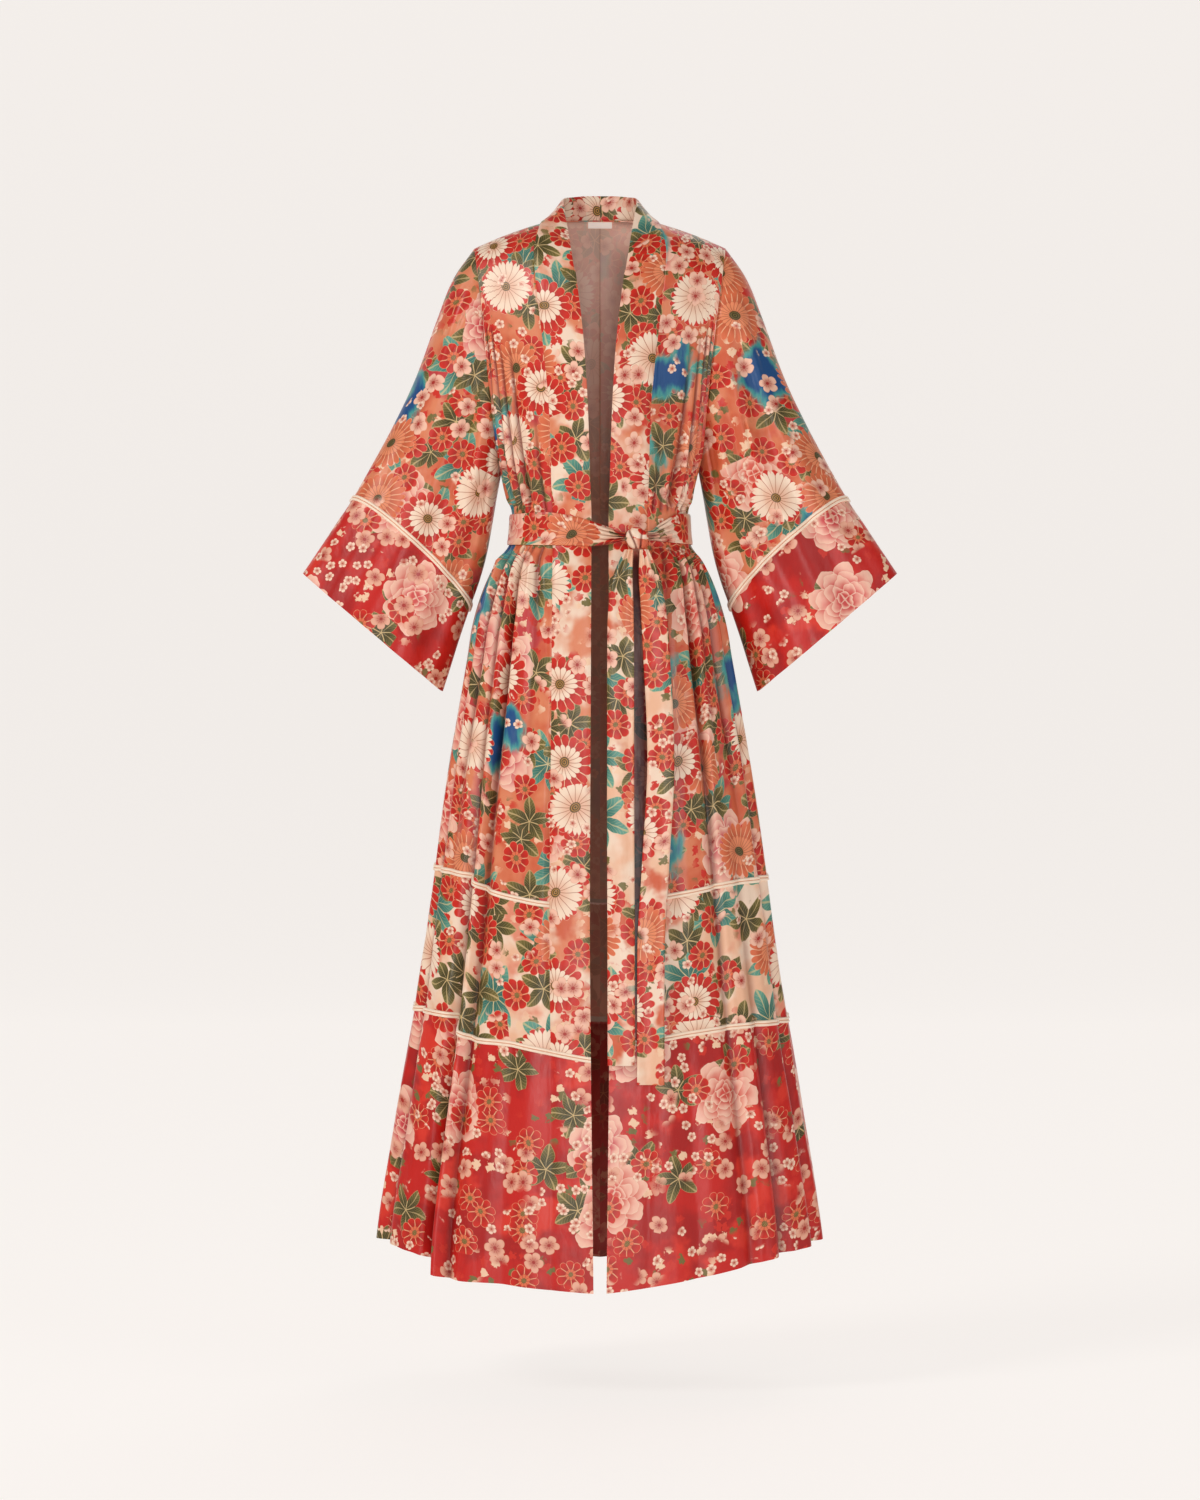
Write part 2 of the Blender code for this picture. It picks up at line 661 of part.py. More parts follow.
def make_body(side_name):
    """The front and back of one side, each cut into main panel, middle tier and hem border."""
    bodies = {}
    for panel in ("front", "back"):
        body = half_body(panel, side_name)
        bodies[panel] = body
        cuts = body["cuts"]
        work = {key: (value.copy() if key in ("outer", "inner") else value) for key, value in body.items()}
        keep_off_side_seam(work, panel)
        facing = -1 if panel == "front" else 1
        ridge_from = 2 if panel == "front" else 5
        for grid in (work["outer"], work["inner"]):
            grid[-1, ridge_from:, 1] = facing * SEAM_GAP / 2
        first = 2 if panel == "front" else 0
        main = slice(first, None)
        whole = slice(0, None)
        panel_piece(
            f"{panel}_{side_name}", work, (cuts["upper"], cuts["top"]), main, "floral",
            ["first", "level_bottom"],
        )
        panel_piece(
            f"middle_{panel}_{side_name}", work, (cuts["lower"], cuts["upper"]), main, "middle",
            ["first", "level_bottom", "level_top"],
        )
        hem_edges = ["level_top"] if panel == "front" else ["first", "level_top"]
        panel_piece(
            f"hem_{panel}_{side_name}", work, (cuts["hem"], cuts["lower"]), whole, "border",
            hem_edges,
        )
    return bodies


def make_band(side_name, bodies):
    """The neckband: up the front edge from the lower piping, round the neck to the centre back."""
    side = SIDES[side_name]
    front = bodies["front"]
    back = bodies["back"]
    start = front["cuts"]["lower"]
    outer = list(front["outer"][start:, :3])
    neck_columns = range(4, -1, -1)
    for c in neck_columns:
        seam = back["outer"][-1, c]
        edge = np.array([NAPE_EDGE.read(axis, abs(seam[0])) for axis in "xyz"]) * (side, 1, 1)
        rise = unit(edge - seam) * SEAM_GAP
        if c == 4:
            outer[-1][0] = edge
            outer[-1][1] = (edge + outer[-1][2]) / 2
            continue
        outer.append(np.array([edge, (edge + seam) / 2, seam + rise * 2]))
    outer = np.array(outer)
    normals = grid_normals(outer)
    away = outer * (1, 1, 0) + (0, 0, 0.02)
    normals *= np.sign(np.sum(normals * away, axis=-1, keepdims=True))
    shared = len(front["normals"]) - start
    under = np.nonzero(front["height"][start:, 0] <= UNDERARM_HEIGHT)[0]
    normals[under, :, 2] = 0
    normals[:shared, 2] = front["normals"][start:, 2]
    normals[-1, :, 0] = 0
    normals = unit(normals)
    inner = outer - normals * BAND_CLOTH
    outer = trimmed(outer, ["last", "bottom"])
    inner = trimmed(inner, ["last", "bottom"])
    for grid in (outer, inner):
        grid[-1, :, 0] = side * SEAM_GAP / 2
    wall(f"band_{side_name}", outer, inner, "floral")



def sleeve_points(side_name, face, run, up):
    """Points of a sleeve and its cuff; face is "front" or "back", up runs from the under edge."""
    side = SIDES[side_name]
    run, up = np.broadcast_arrays(np.asarray(run, float), np.asarray(up, float))
    size = {name: SLEEVE.read(name, run) for name in SLEEVE.columns[1:]}
    shape = armhole_opening(up) / ARMHOLE_HALF_DEPTH
    x = size["under_x"] + up * (size["outer_x"] - size["under_x"]) - BOW_ACROSS * size["bow"] * shape
    z = size["under_z"] + up * (size["outer_z"] - size["under_z"]) + BOW_UP * size["bow"] * shape
    depth = size["depth"] * shape + size["folds"] * SLEEVE_FOLDS.read(face, up) / 1000
    facing = -1 if face == "front" else 1
    return np.stack([side * x, facing * depth, z], axis=-1)


def around_armhole(front, back):
    """Orders what lies up the front and the back of an armhole into one ring, from the top."""
    return np.concatenate([front[::-1], back[1:-1]])


def sleeve_grid(side_name, bodies):
    """Outer and inner points of a sleeve with its cuff, from the armhole to the opening."""
    side = SIDES[side_name]
    runs = SLEEVE_RUNS + CUFF_RUNS[1:]
    ups = np.array(ARMHOLE_ROWS)
    faces = [sleeve_points(side_name, face, np.array(runs)[:, None], ups) for face in ("front", "back")]
    outer = np.array([around_armhole(front, back) for front, back in zip(*faces)])
    count = len(ups)
    rims = {}
    for grid in ("outer", "inner"):
        ends = [bodies[panel][grid][-count:, -1] for panel in ("front", "back")]
        rims[grid] = around_armhole(*ends)
    ring_up = around_armhole(ups, ups)
    shift = ARMHOLE_GAP + UNDERARM_GAP * (1 - ring_up)
    start = np.stack([side * shift, shift * 0, shift * 0], axis=-1)
    outer[0] = rims["outer"] + start
    normals = grid_normals(outer, closed=True)
    away = outer - outer.mean(axis=1, keepdims=True)
    normals *= np.sign(np.sum(normals * away, axis=-1, keepdims=True))
    inner = outer - normals * CLOTH
    body_share = np.clip((ring_up - 0.1) / 0.4, 0, 1)[:, None]
    inner[0] = inner[0] * (1 - body_share) + (rims["inner"] + start) * body_share
    return {"outer": outer, "inner": inner, "normals": normals}


def make_sleeve(side_name, bodies):
    """A sleeve set into the armhole, its cuff band and the piping over the seam between them."""
    grid = sleeve_grid(side_name, bodies)
    cut = len(SLEEVE_RUNS) - 1
    blocks = {"sleeve": (slice(0, cut + 1), "floral", "top"), "cuff": (slice(cut, None), "border", "bottom")}
    for name, (rows, finish, seam) in blocks.items():
        outer = trimmed(grid["outer"][rows], [seam])
        inner = trimmed(grid["inner"][rows], [seam])
        wall(f"{name}_{side_name}", outer, inner, finish, closed=True)
    make_piping(f"cuff_piping_{side_name}", grid["outer"], grid["normals"], cut, closed=True)


def make_piping(name, points, normals, row, closed=False, ends=None):
    """A flat piping over a seam: a strip made from the cloth's own points, moved out."""
    middle = points[row]
    below = middle + unit(points[row - 1] - middle) * PIPING_WIDTH / 2
    above = middle + unit(points[row + 1] - middle) * PIPING_WIDTH / 2
    strip = np.array([below, middle, above])
    out = normals[row]
    if ends is not None:
        strip[:, -1, 0] = ends
    inner = strip + out * PIPING_CLEARANCE
    outer = strip + out * (PIPING_CLEARANCE + PIPING_CLOTH)
    wall(name, outer, inner, "piping", closed=closed)


def make_skirt_pipings(side_name, bodies):
    """The two pipings of one side of the skirt, from the front round to the centre back."""
    front = bodies["front"]
    back = bodies["back"]
    for line, first in (("upper", 2), ("lower", 0)):
        row = front["cuts"][line]
        parts = {}
        for grid in ("outer", "normals"):
            rows = slice(row - 1, row + 2)
            parts[grid] = np.concatenate(
                [front[grid][rows, first:-1], back[grid][rows, ::-1]], axis=1
            )
        ends = SIDES[side_name] * SEAM_GAP / 2
        make_piping(f"piping_{line}_{side_name}", parts["outer"], parts["normals"], 1, ends=ends)


def make_belt():
    """The belt, from one side of the knot round the waist to the other, gathered towards the knot."""
    left_end = KNOT_X + KNOT_HALF_WIDTH + SEAM_GAP
    right_end = KNOT_X - KNOT_HALF_WIDTH - SEAM_GAP
    width = BODY.read("half_width", BELT_BOTTOM)
    turns = np.concatenate(
        [
            np.linspace(ring_angle(left_end / width), 90, 12),
            np.linspace(90, 270, 31)[1:],
            np.linspace(270, 360 + ring_angle(right_end / width), 20)[1:],
        ]
    )
    side = np.where(np.sin(np.radians(turns)) >= 0, 1, -1)
    is_front = np.cos(np.radians(turns)) > 0
    angle = np.where(is_front, np.abs((turns + 90) % 360 - 90), np.abs(turns - 180))
    x = side * width * ring_parts(angle)[0]
    bottom = np.where(is_front, BELT_FRONT.read("bottom", x), BELT_BOTTOM)
    top = np.where(is_front, BELT_FRONT.read("top", x), BELT_TOP)
    gathered = np.where(is_front, BELT_FRONT.read("gathered", x), 0)
    rows = {"inner": [], "outer": []}
    for share, bulge in ((0.0, 0.3), (0.33, 1.0), (0.67, 1.0), (1.0, 0.3)):
        height = bottom + (top - bottom) * share
        points = {panel: body_points(panel, side, angle, height) for panel in ("front", "back")}
        away = {panel: outward(panel, side, angle, height) for panel in ("front", "back")}
        on = np.where(is_front[:, None], points["front"], points["back"])
        out = np.where(is_front[:, None], away["front"], away["back"])
        inner = on + out * BELT_CLEARANCE
        inner[0, 0] = left_end
        inner[-1, 0] = right_end
        outer = inner + out * (BELT_CLOTH + gathered * bulge)[:, None]
        outer[0, 0] = left_end
        outer[-1, 0] = right_end
        rows["inner"].append(inner)
        rows["outer"].append(outer)
    wall("belt_waist", np.array(rows["outer"]), np.array(rows["inner"]), "floral")


def make_knot():
    """The knot: a rounded wrap of cloth whose sides take the belt's two ends."""
    stations = ((-1.0, 0.80), (-0.65, 0.97), (0.0, 1.0), (0.65, 0.97), (1.0, 0.80))
    count = 16
    points = []
    for along, swell in stations:
        for k in range(count):
            turn = 2 * math.pi * k / count
            y = KNOT_CENTRE_Y + KNOT_DEPTH / 2 * swell * math.cos(turn)
            z = KNOT_HEIGHT + KNOT_HALF_HEIGHT * swell * math.sin(turn)
            points.append((KNOT_X + along * KNOT_HALF_WIDTH, y, z))
    faces = [tuple(range(count)), tuple(range((len(stations) - 1) * count, len(stations) * count))]
    for ring in range(len(stations) - 1):
        for k in range(count):
            a = ring * count + k
            b = ring * count + (k + 1) % count
            faces.append((a, b, b + count, a + count))
    body_object("belt_knot", points, faces, "floral")


def make_tail(side_name):
    """A hanging end of the belt, gathered under the knot and spread flat below it."""
    table = TAILS[side_name]
    low, high = table.rows[0, 0], table.rows[-1, 0]
    heights = high - (high - low) * np.linspace(0, 1, TAIL_ROWS) ** 1.5
    middle = table.read("x", heights)
    half = table.read("half_width", heights)
    gathered = table.read("gathered", heights)
    nearest = np.full(heights.shape, 0.0)
    for share in (-1.0, -0.5, 0.0, 0.5, 1.0):
        x = middle + half * share
        angle = ring_angle(x / half_width(heights))
        nearest = np.minimum(nearest, draped_points("front", "left", angle, heights)[:, 1])
    back_y = nearest - TAIL_CLEARANCE
    grids = {"outer": [], "inner": []}
    for share, ripple in ((-1.0, 0.0), (-0.4, 1.0), (0.3, 0.2), (1.0, 0.8)):
        wave = TAIL_RIPPLE * ripple
        x = middle + half * share
        grids["inner"].append(np.stack([x, back_y - wave, heights], axis=-1))
        grids["outer"].append(np.stack([x, back_y - wave - CLOTH - gathered, heights], axis=-1))
    wall(f"belt_tail_{side_name}", np.array(grids["outer"]), np.array(grids["inner"]), "floral")


def make_label(back):
    """A small blank label below the neckband, on the inside of the back."""
    below, rim = back["inner"][-2:, :2]
    middle = (below[0], rim[0])
    reach = [low + (high - low) * LABEL_HALF_WIDTH / abs(high[0]) for low, high in (below, rim)]
    normal = back["normals"][-2, 0]
    rows = []
    for part in LABEL_PARTS:
        centre = middle[0] + (middle[1] - middle[0]) * part
        end = reach[0] + (reach[1] - reach[0]) * part
        rows.append([end * (-1, 1, 1), centre, end])
    face = np.array(rows) - normal * LABEL_GAP
    wall("neck_label", face, face - normal * LABEL_CLOTH, "label")


for each in SIDES:
    halves = make_body(each)
    make_band(each, halves)
    make_sleeve(each, halves)
    make_skirt_pipings(each, halves)
    make_tail(each)
make_belt()
make_knot()
make_label(halves["back"])
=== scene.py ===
# %% [markdown]
# A long satin kimono robe, worn open over nobody, as it stands filled out. The robe is a set of flat
# pieces of printed satin: fronts, backs, two lower tiers, wide sleeves with red cuffs, a long
# neckband and a tie belt. This lesson starts from a plain frame of its solids and rebuilds each piece
# as a thin, finely folded shell with its print, sheen and wrong side.

# %% Load the frame
import math
import random

import bpy
import numpy as np
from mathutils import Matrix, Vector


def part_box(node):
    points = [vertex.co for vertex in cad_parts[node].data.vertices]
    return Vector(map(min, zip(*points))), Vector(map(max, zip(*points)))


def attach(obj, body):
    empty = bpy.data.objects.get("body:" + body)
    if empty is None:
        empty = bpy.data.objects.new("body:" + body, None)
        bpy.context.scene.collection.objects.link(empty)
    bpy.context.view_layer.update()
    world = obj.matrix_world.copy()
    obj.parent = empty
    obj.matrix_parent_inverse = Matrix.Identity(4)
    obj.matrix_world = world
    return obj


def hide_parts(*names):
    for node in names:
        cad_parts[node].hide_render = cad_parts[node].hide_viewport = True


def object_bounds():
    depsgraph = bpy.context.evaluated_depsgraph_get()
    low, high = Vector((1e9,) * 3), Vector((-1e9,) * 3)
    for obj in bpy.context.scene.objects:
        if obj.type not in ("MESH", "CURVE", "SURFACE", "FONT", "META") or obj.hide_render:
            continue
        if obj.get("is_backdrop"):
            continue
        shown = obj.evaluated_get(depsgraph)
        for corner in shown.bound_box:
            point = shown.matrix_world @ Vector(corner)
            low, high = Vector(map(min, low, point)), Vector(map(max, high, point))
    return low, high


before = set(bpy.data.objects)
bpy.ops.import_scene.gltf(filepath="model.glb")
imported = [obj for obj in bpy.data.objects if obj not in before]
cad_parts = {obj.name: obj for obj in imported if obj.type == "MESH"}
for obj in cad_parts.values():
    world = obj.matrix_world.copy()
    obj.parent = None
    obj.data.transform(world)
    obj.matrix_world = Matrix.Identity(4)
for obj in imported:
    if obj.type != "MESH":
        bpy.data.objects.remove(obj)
frame_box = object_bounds()
print("frame box", [[round(float(v), 3) for v in corner] for corner in frame_box])

# %% [markdown]
# The robe is seen straight from the front with a long lens, which keeps the sleeves and the hem from
# spreading. A long lens far away does the same here. The camera looks down a little, because it
# stands at the height of the hips and the picture's middle is lower.

# %% Camera
bpy.context.scene.view_settings.view_transform = "Standard"
SHOULDER_HEIGHT = 1.400
PICTURE_LONG_SIDE = 1500
PIXELS_PER_SLOPE = 5222
CAMERA_DISTANCE = 7.0
CAMERA_HEIGHT = 0.900
HORIZON_ABOVE_MIDDLE = 143


def add_object(name, data):
    """Puts an object into the scene."""
    made = bpy.data.objects.new(name, data)
    bpy.context.scene.collection.objects.link(made)
    return made


lens = bpy.data.cameras.new("camera")
lens.sensor_width = 36.0
lens.lens = lens.sensor_width * PIXELS_PER_SLOPE / PICTURE_LONG_SIDE
tilt = math.atan(HORIZON_ABOVE_MIDDLE / PIXELS_PER_SLOPE)
camera = add_object("camera", lens)
camera.location = (0.0, -CAMERA_DISTANCE, CAMERA_HEIGHT - SHOULDER_HEIGHT)
camera.rotation_euler = (math.pi / 2 - tilt, 0.0, 0.0)
bpy.context.scene.camera = camera
print(f"lens {lens.lens:.1f} mm, looking down {math.degrees(tilt):.2f} degrees")

# %% [markdown]
# A studio sets such a robe against a seamless pale sweep. A floor that rises behind in one curve has
# no line where it meets the wall. The paper glows a little by itself, which keeps it as even as a
# ground that has its own lamps, and its own colour is dim, so that the robe throws hardly a shadow.

# %% Floor
FLOOR_BELOW_HEM = 0.14
SWEEP_HALF_WIDTH = 14.0
SWEEP_FRONT = -10.0
SWEEP_BACK = 9.0
SWEEP_RADIUS = 3.0
SWEEP_TOP = 9.0
SWEEP_BENDS = 16
PAPER = (0.20, 0.19, 0.185)
PAPER_ROUGHNESS = 0.9
PAPER_GLOW = (0.778, 0.744, 0.716)


def make_sweep():
    """The floor and the wall behind it, as one bent sheet."""
    floor = -SHOULDER_HEIGHT - FLOOR_BELOW_HEM
    profile = [(SWEEP_FRONT, floor), (SWEEP_BACK - SWEEP_RADIUS, floor)]
    for k in range(1, SWEEP_BENDS + 1):
        turn = math.pi / 2 * k / SWEEP_BENDS
        y = SWEEP_BACK - SWEEP_RADIUS + SWEEP_RADIUS * math.sin(turn)
        profile.append((y, floor + SWEEP_RADIUS * (1 - math.cos(turn))))
    profile.append((SWEEP_BACK, SWEEP_TOP))
    points = []
    for y, z in profile:
        points += [(-SWEEP_HALF_WIDTH, y, z), (SWEEP_HALF_WIDTH, y, z)]
    faces = [(2 * k, 2 * k + 1, 2 * k + 3, 2 * k + 2) for k in range(len(profile) - 1)]
    mesh = bpy.data.meshes.new("sweep")
    mesh.from_pydata(points, [], faces)
    mesh.shade_smooth()
    paper = bpy.data.materials.new("sweep paper")
    paper.use_nodes = True
    shader = paper.node_tree.nodes["Principled BSDF"]
    shader.inputs["Base Color"].default_value = (*PAPER, 1)
    shader.inputs["Roughness"].default_value = PAPER_ROUGHNESS
    shader.inputs["Emission Color"].default_value = (*PAPER_GLOW, 1)
    shader.inputs["Emission Strength"].default_value = 1.0
    mesh.materials.append(paper)
    sweep = add_object("sweep", mesh)
    sweep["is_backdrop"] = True
    return sweep


sweep = make_sweep()
print("sweep", [round(size, 2) for size in sweep.dimensions], "m")

# %% [markdown]
# Big soft lights from the left, the right and from behind model the folds and give the satin long,
# broad highlights. One from the front fills the hollows. The world adds a little light from
# everywhere, and past the edge of the sweep the camera sees it in the paper's colour.

# %% Lights
LIGHTS = {
    # place, size, power, tint
    "key": ((-3.6, -3.0, 2.6), 1.6, 126, (1.0, 0.985, 0.96)),
    "fill": ((3.8, -3.4, 1.0), 2.6, 32, (1.0, 0.99, 0.98)),
    "front": ((0.3, -7.5, 0.0), 1.6, 118, (1.0, 0.99, 0.98)),
    "rim": ((1.2, 3.0, 3.4), 2.0, 26, (1.0, 1.0, 1.0)),
}
MIDDLE_OF_ROBE = (0.0, 0.0, -0.6)
WORLD_TINT = (1.0, 0.985, 0.965)
WORLD_STRENGTH = 0.20
PAPER_SEEN = (0.888, 0.847, 0.815)


def soft_light(name, place, size, power, tint):
    """A large square light that looks at the middle of the robe."""
    data = bpy.data.lights.new(name, "AREA")
    data.size = size
    data.energy = power
    data.color = tint
    light = add_object(name, data)
    light.location = place
    light.visible_camera = False
    aim = np.array(MIDDLE_OF_ROBE) - np.array(place)
    rise = math.atan2(aim[2], math.hypot(aim[0], aim[1]))
    light.rotation_euler = (math.pi / 2 + rise, 0, math.atan2(aim[1], aim[0]) - math.pi / 2)


def make_world():
    """Dim light from everywhere, and the paper's colour where the camera looks straight at it."""
    world = bpy.data.worlds.new("studio")
    world.use_nodes = True
    nodes, link = world.node_tree.nodes, world.node_tree.links.new
    around = nodes["Background"]
    around.inputs["Color"].default_value = (*WORLD_TINT, 1)
    around.inputs["Strength"].default_value = WORLD_STRENGTH
    behind = nodes.new("ShaderNodeBackground")
    behind.inputs["Color"].default_value = (*PAPER_SEEN, 1)
    choose = nodes.new("ShaderNodeMixShader")
    link(nodes.new("ShaderNodeLightPath").outputs["Is Camera Ray"], choose.inputs[0])
    link(around.outputs[0], choose.inputs[1])
    link(behind.outputs[0], choose.inputs[2])
    link(choose.outputs[0], nodes["World Output"].inputs[0])
    bpy.context.scene.world = world


for name, values in LIGHTS.items():
    soft_light(name, *values)
make_world()
print("soft lights:", ", ".join(LIGHTS))

# %% [markdown]
# Every size of the robe stands in short tables: how wide and deep its rings are at each height, how
# far the fronts stand open, where the seams run. A smooth curve through the rows gives every size in
# between, so that a fine mesh can follow the same form as the plain solids of the frame.

# %% Reading a table
def ramp(value):
    """The value, held between 0 and 1."""
    return np.clip(value, 0, 1)


def smooth_read(keys, values, at):
    """Reads a smooth curve through the rows of a table, with no overshoot between them."""
    step = np.diff(keys)
    slope = np.diff(values) / step
    inner = (slope[:-1] + slope[1:]) / 2
    limit = 3 * np.minimum(np.abs(slope[:-1]), np.abs(slope[1:]))
    inner = np.sign(inner) * np.minimum(np.abs(inner), limit)
    inner[slope[:-1] * slope[1:] <= 0] = 0
    tangent = np.concatenate([slope[:1], inner, slope[-1:]])
    at = np.clip(at, keys[0], keys[-1])
    row = np.clip(np.searchsorted(keys, at, side="right") - 1, 0, len(step) - 1)
    part = (at - keys[row]) / step[row]
    rise = part * part * (3 - 2 * part)
    lead = step[row] * part * (1 - part) ** 2 * tangent[row]
    trail = step[row] * part * part * (part - 1) * tangent[row + 1]
    return values[row] * (1 - rise) + values[row + 1] * rise + lead + trail


class Table:
    """Sizes under named columns, read between the rows by the first column."""

    def __init__(self, columns, *rows):
        self.columns = columns.split()
        self.rows = np.array(sorted(rows), dtype=float)

    def read(self, column, at):
        values = self.rows[:, self.columns.index(column)]
        return smooth_read(self.rows[:, 0], values, np.asarray(at, dtype=float))


print("a curve through 0, 1 and 0, read halfway:", smooth_read(np.arange(3), np.array((0, 1, 0)), 0.5))

# %% [markdown]
# These are the sizes of the body, in metres above the hem and from the robe's centre. The rings get
# narrower from the hem to the belt and wider again to the arms. The opening is a little wider at the
# chest than at the belt, and the band leaves the chest below the neck and stands up behind it.

# %% Sizes of the body
UNDERARM_HEIGHT = 1.086
NECK_POINT_HEIGHT = 1.412
NECK_HALF_WIDTH = 0.080
NAPE_DEPTH = 0.072
NAPE_RISE = 0.010
UNDERARM_HALF_WIDTH = 0.131
SHOULDER_HALF_WIDTH = 0.168
SHOULDER_DROP = 0.033
ARMHOLE_HALF_DEPTH = 0.058
ARMHOLE_POWER = 2.2
CHEST_FRONT = 0.116
CHEST_BACK = 0.100
SHOULDER_CURVE = 2.6
RING_POWER = 2.4
BOW_ACROSS = 0.5
BOW_UP = 0.86
BELT_BOTTOM = 0.983
BELT_TOP = 1.023
SIDES = {"left": 1, "right": -1}

# Half width and depths of the body's rings, from the hem to the underarm
BODY = Table(
    "height half_width front back",
    (0.000, 0.300, 0.182, 0.186),
    (0.065, 0.296, 0.179, 0.183),
    (0.220, 0.272, 0.168, 0.170),
    (0.368, 0.248, 0.156, 0.158),
    (0.554, 0.221, 0.142, 0.145),
    (0.684, 0.202, 0.134, 0.136),
    (0.834, 0.176, 0.127, 0.127),
    (0.880, 0.168, 0.124, 0.122),
    (0.931, 0.151, 0.117, 0.112),
    (0.965, 0.134, 0.107, 0.098),
    (BELT_BOTTOM, 0.1215, 0.099, 0.086),
    (BELT_TOP, 0.1180, 0.097, 0.083),
    (1.040, 0.1200, 0.099, 0.087),
    (UNDERARM_HEIGHT, UNDERARM_HALF_WIDTH, 0.108, CHEST_BACK),
)
# Half of the front opening, and the band's outer seam, from the hem to the shoulder
OPENING = Table(
    "height half_gap seam",
    (0.000, 0.0085, 0.0640),
    (0.310, 0.0120, 0.0650),
    (0.480, 0.0133, 0.0665),
    (0.810, 0.0120, 0.0640),
    (1.020, 0.0113, 0.0630),
    (1.070, 0.0130, 0.0650),
    (1.150, 0.0155, 0.0670),
    (1.200, 0.0180, 0.0710),
    (1.257, 0.0224, 0.0770),
    (1.299, 0.0273, 0.0820),
    (1.340, 0.0330, 0.0860),
    (1.374, 0.0386, 0.0880),
    (NECK_POINT_HEIGHT, 0.0485, NECK_HALF_WIDTH),
)
# The band's free edge where it leaves the chest and stands up round the neck
FREE_EDGE = Table(
    "height x y z",
    (1.340, 0.0330, -0.0873, 1.3400),
    (1.374, 0.0386, -0.0660, 1.3760),
    (1.400, 0.0435, -0.0300, 1.4080),
    (NECK_POINT_HEIGHT, 0.0485, -0.0020, 1.4360),
)
# The same edge behind the neck, by the distance of the neck seam from the centre back
NAPE_EDGE = Table(
    "seam x y z",
    (0.0000, 0.0000, 0.0790, 1.4550),
    (0.0257, 0.0220, 0.0730, 1.4545),
    (0.0454, 0.0380, 0.0570, 1.4520),
    (0.0632, 0.0480, 0.0340, 1.4490),
    (0.0741, 0.0495, 0.0150, 1.4440),
    (NECK_HALF_WIDTH, 0.0485, -0.0020, 1.4360),
)
# Heights of the two piping lines and the hem, by the angle from the centre front to the centre back
TIERS = Table(
    "angle upper_right upper_left lower_right lower_left hem_right hem_left",
    (0, 0.503, 0.508, 0.304, 0.322, 0.000, 0.000),
    (22, 0.514, 0.521, 0.325, 0.338, 0.012, 0.020),
    (43, 0.534, 0.533, 0.338, 0.347, 0.022, 0.039),
    (48, 0.545, 0.535, 0.360, 0.348, 0.040, 0.043),
    (90, 0.553, 0.540, 0.366, 0.350, 0.060, 0.060),
    (135, 0.530, 0.525, 0.352, 0.348, 0.034, 0.034),
    (180, 0.500, 0.500, 0.338, 0.338, 0.004, 0.004),
)
print("width at hem, belt and underarm:", [round(2 * float(BODY.read("half_width", z)), 3)
                                           for z in (0, BELT_BOTTOM, UNDERARM_HEIGHT)])

# %% [markdown]
# The skirt's folds hang from the belt. Each fold line has a place at four heights, as an angle round
# the ring. Left and right share the places.

# %% Fold lines
# Where each fold line of a front runs, as the angle from the centre front
FRONT_FOLDS = (
    # chest, belt, hip, hem
    (31.0, 31.0, 22.0, 15.0),
    (36.0, 36.0, 27.0, 21.0),
    (41.0, 41.5, 32.0, 27.0),
    (46.0, 46.0, 37.0, 33.0),
    (50.5, 49.5, 41.0, 38.0),
    (55.0, 53.5, 45.0, 42.5),
    (59.0, 57.5, 49.0, 46.0),
    (63.0, 61.5, 54.0, 52.0),
    (67.0, 66.0, 59.0, 58.0),
    (71.0, 70.5, 64.0, 64.0),
    (75.5, 75.0, 69.5, 70.0),
    (80.0, 79.5, 75.5, 76.0),
    (85.0, 84.5, 82.5, 83.0),
)
# The same for a back, as the angle from the centre back
BACK_FOLDS = (
    # chest, belt, hip, hem
    (6.0, 6.0, 5.5, 5.5),
    (12.0, 12.0, 11.0, 11.5),
    (18.0, 18.5, 17.0, 18.0),
    (22.0, 24.5, 23.0, 24.5),
    (24.2, 30.5, 29.0, 31.0),
    (31.5, 37.0, 35.0, 37.0),
    (39.0, 43.0, 41.0, 43.5),
    (46.5, 49.0, 47.0, 49.5),
    (54.0, 55.0, 53.0, 55.5),
    (61.0, 61.5, 60.0, 62.0),
    (68.0, 68.0, 67.0, 69.0),
    (75.0, 75.0, 74.0, 76.0),
    (82.0, 82.5, 82.0, 83.0),
)
FOLD_ANGLE_HEIGHTS = (1.150, 1.000, 0.880, 0.000)
print(len(FRONT_FOLDS), "fold lines on a front and", len(BACK_FOLDS), "on a back")

# %% [markdown]
# Each line also has a depth at six heights, in millimetres: positive depths are ridges and negative
# ones valleys. The two take turns. Left and right have depths of their own, so they fall differently.

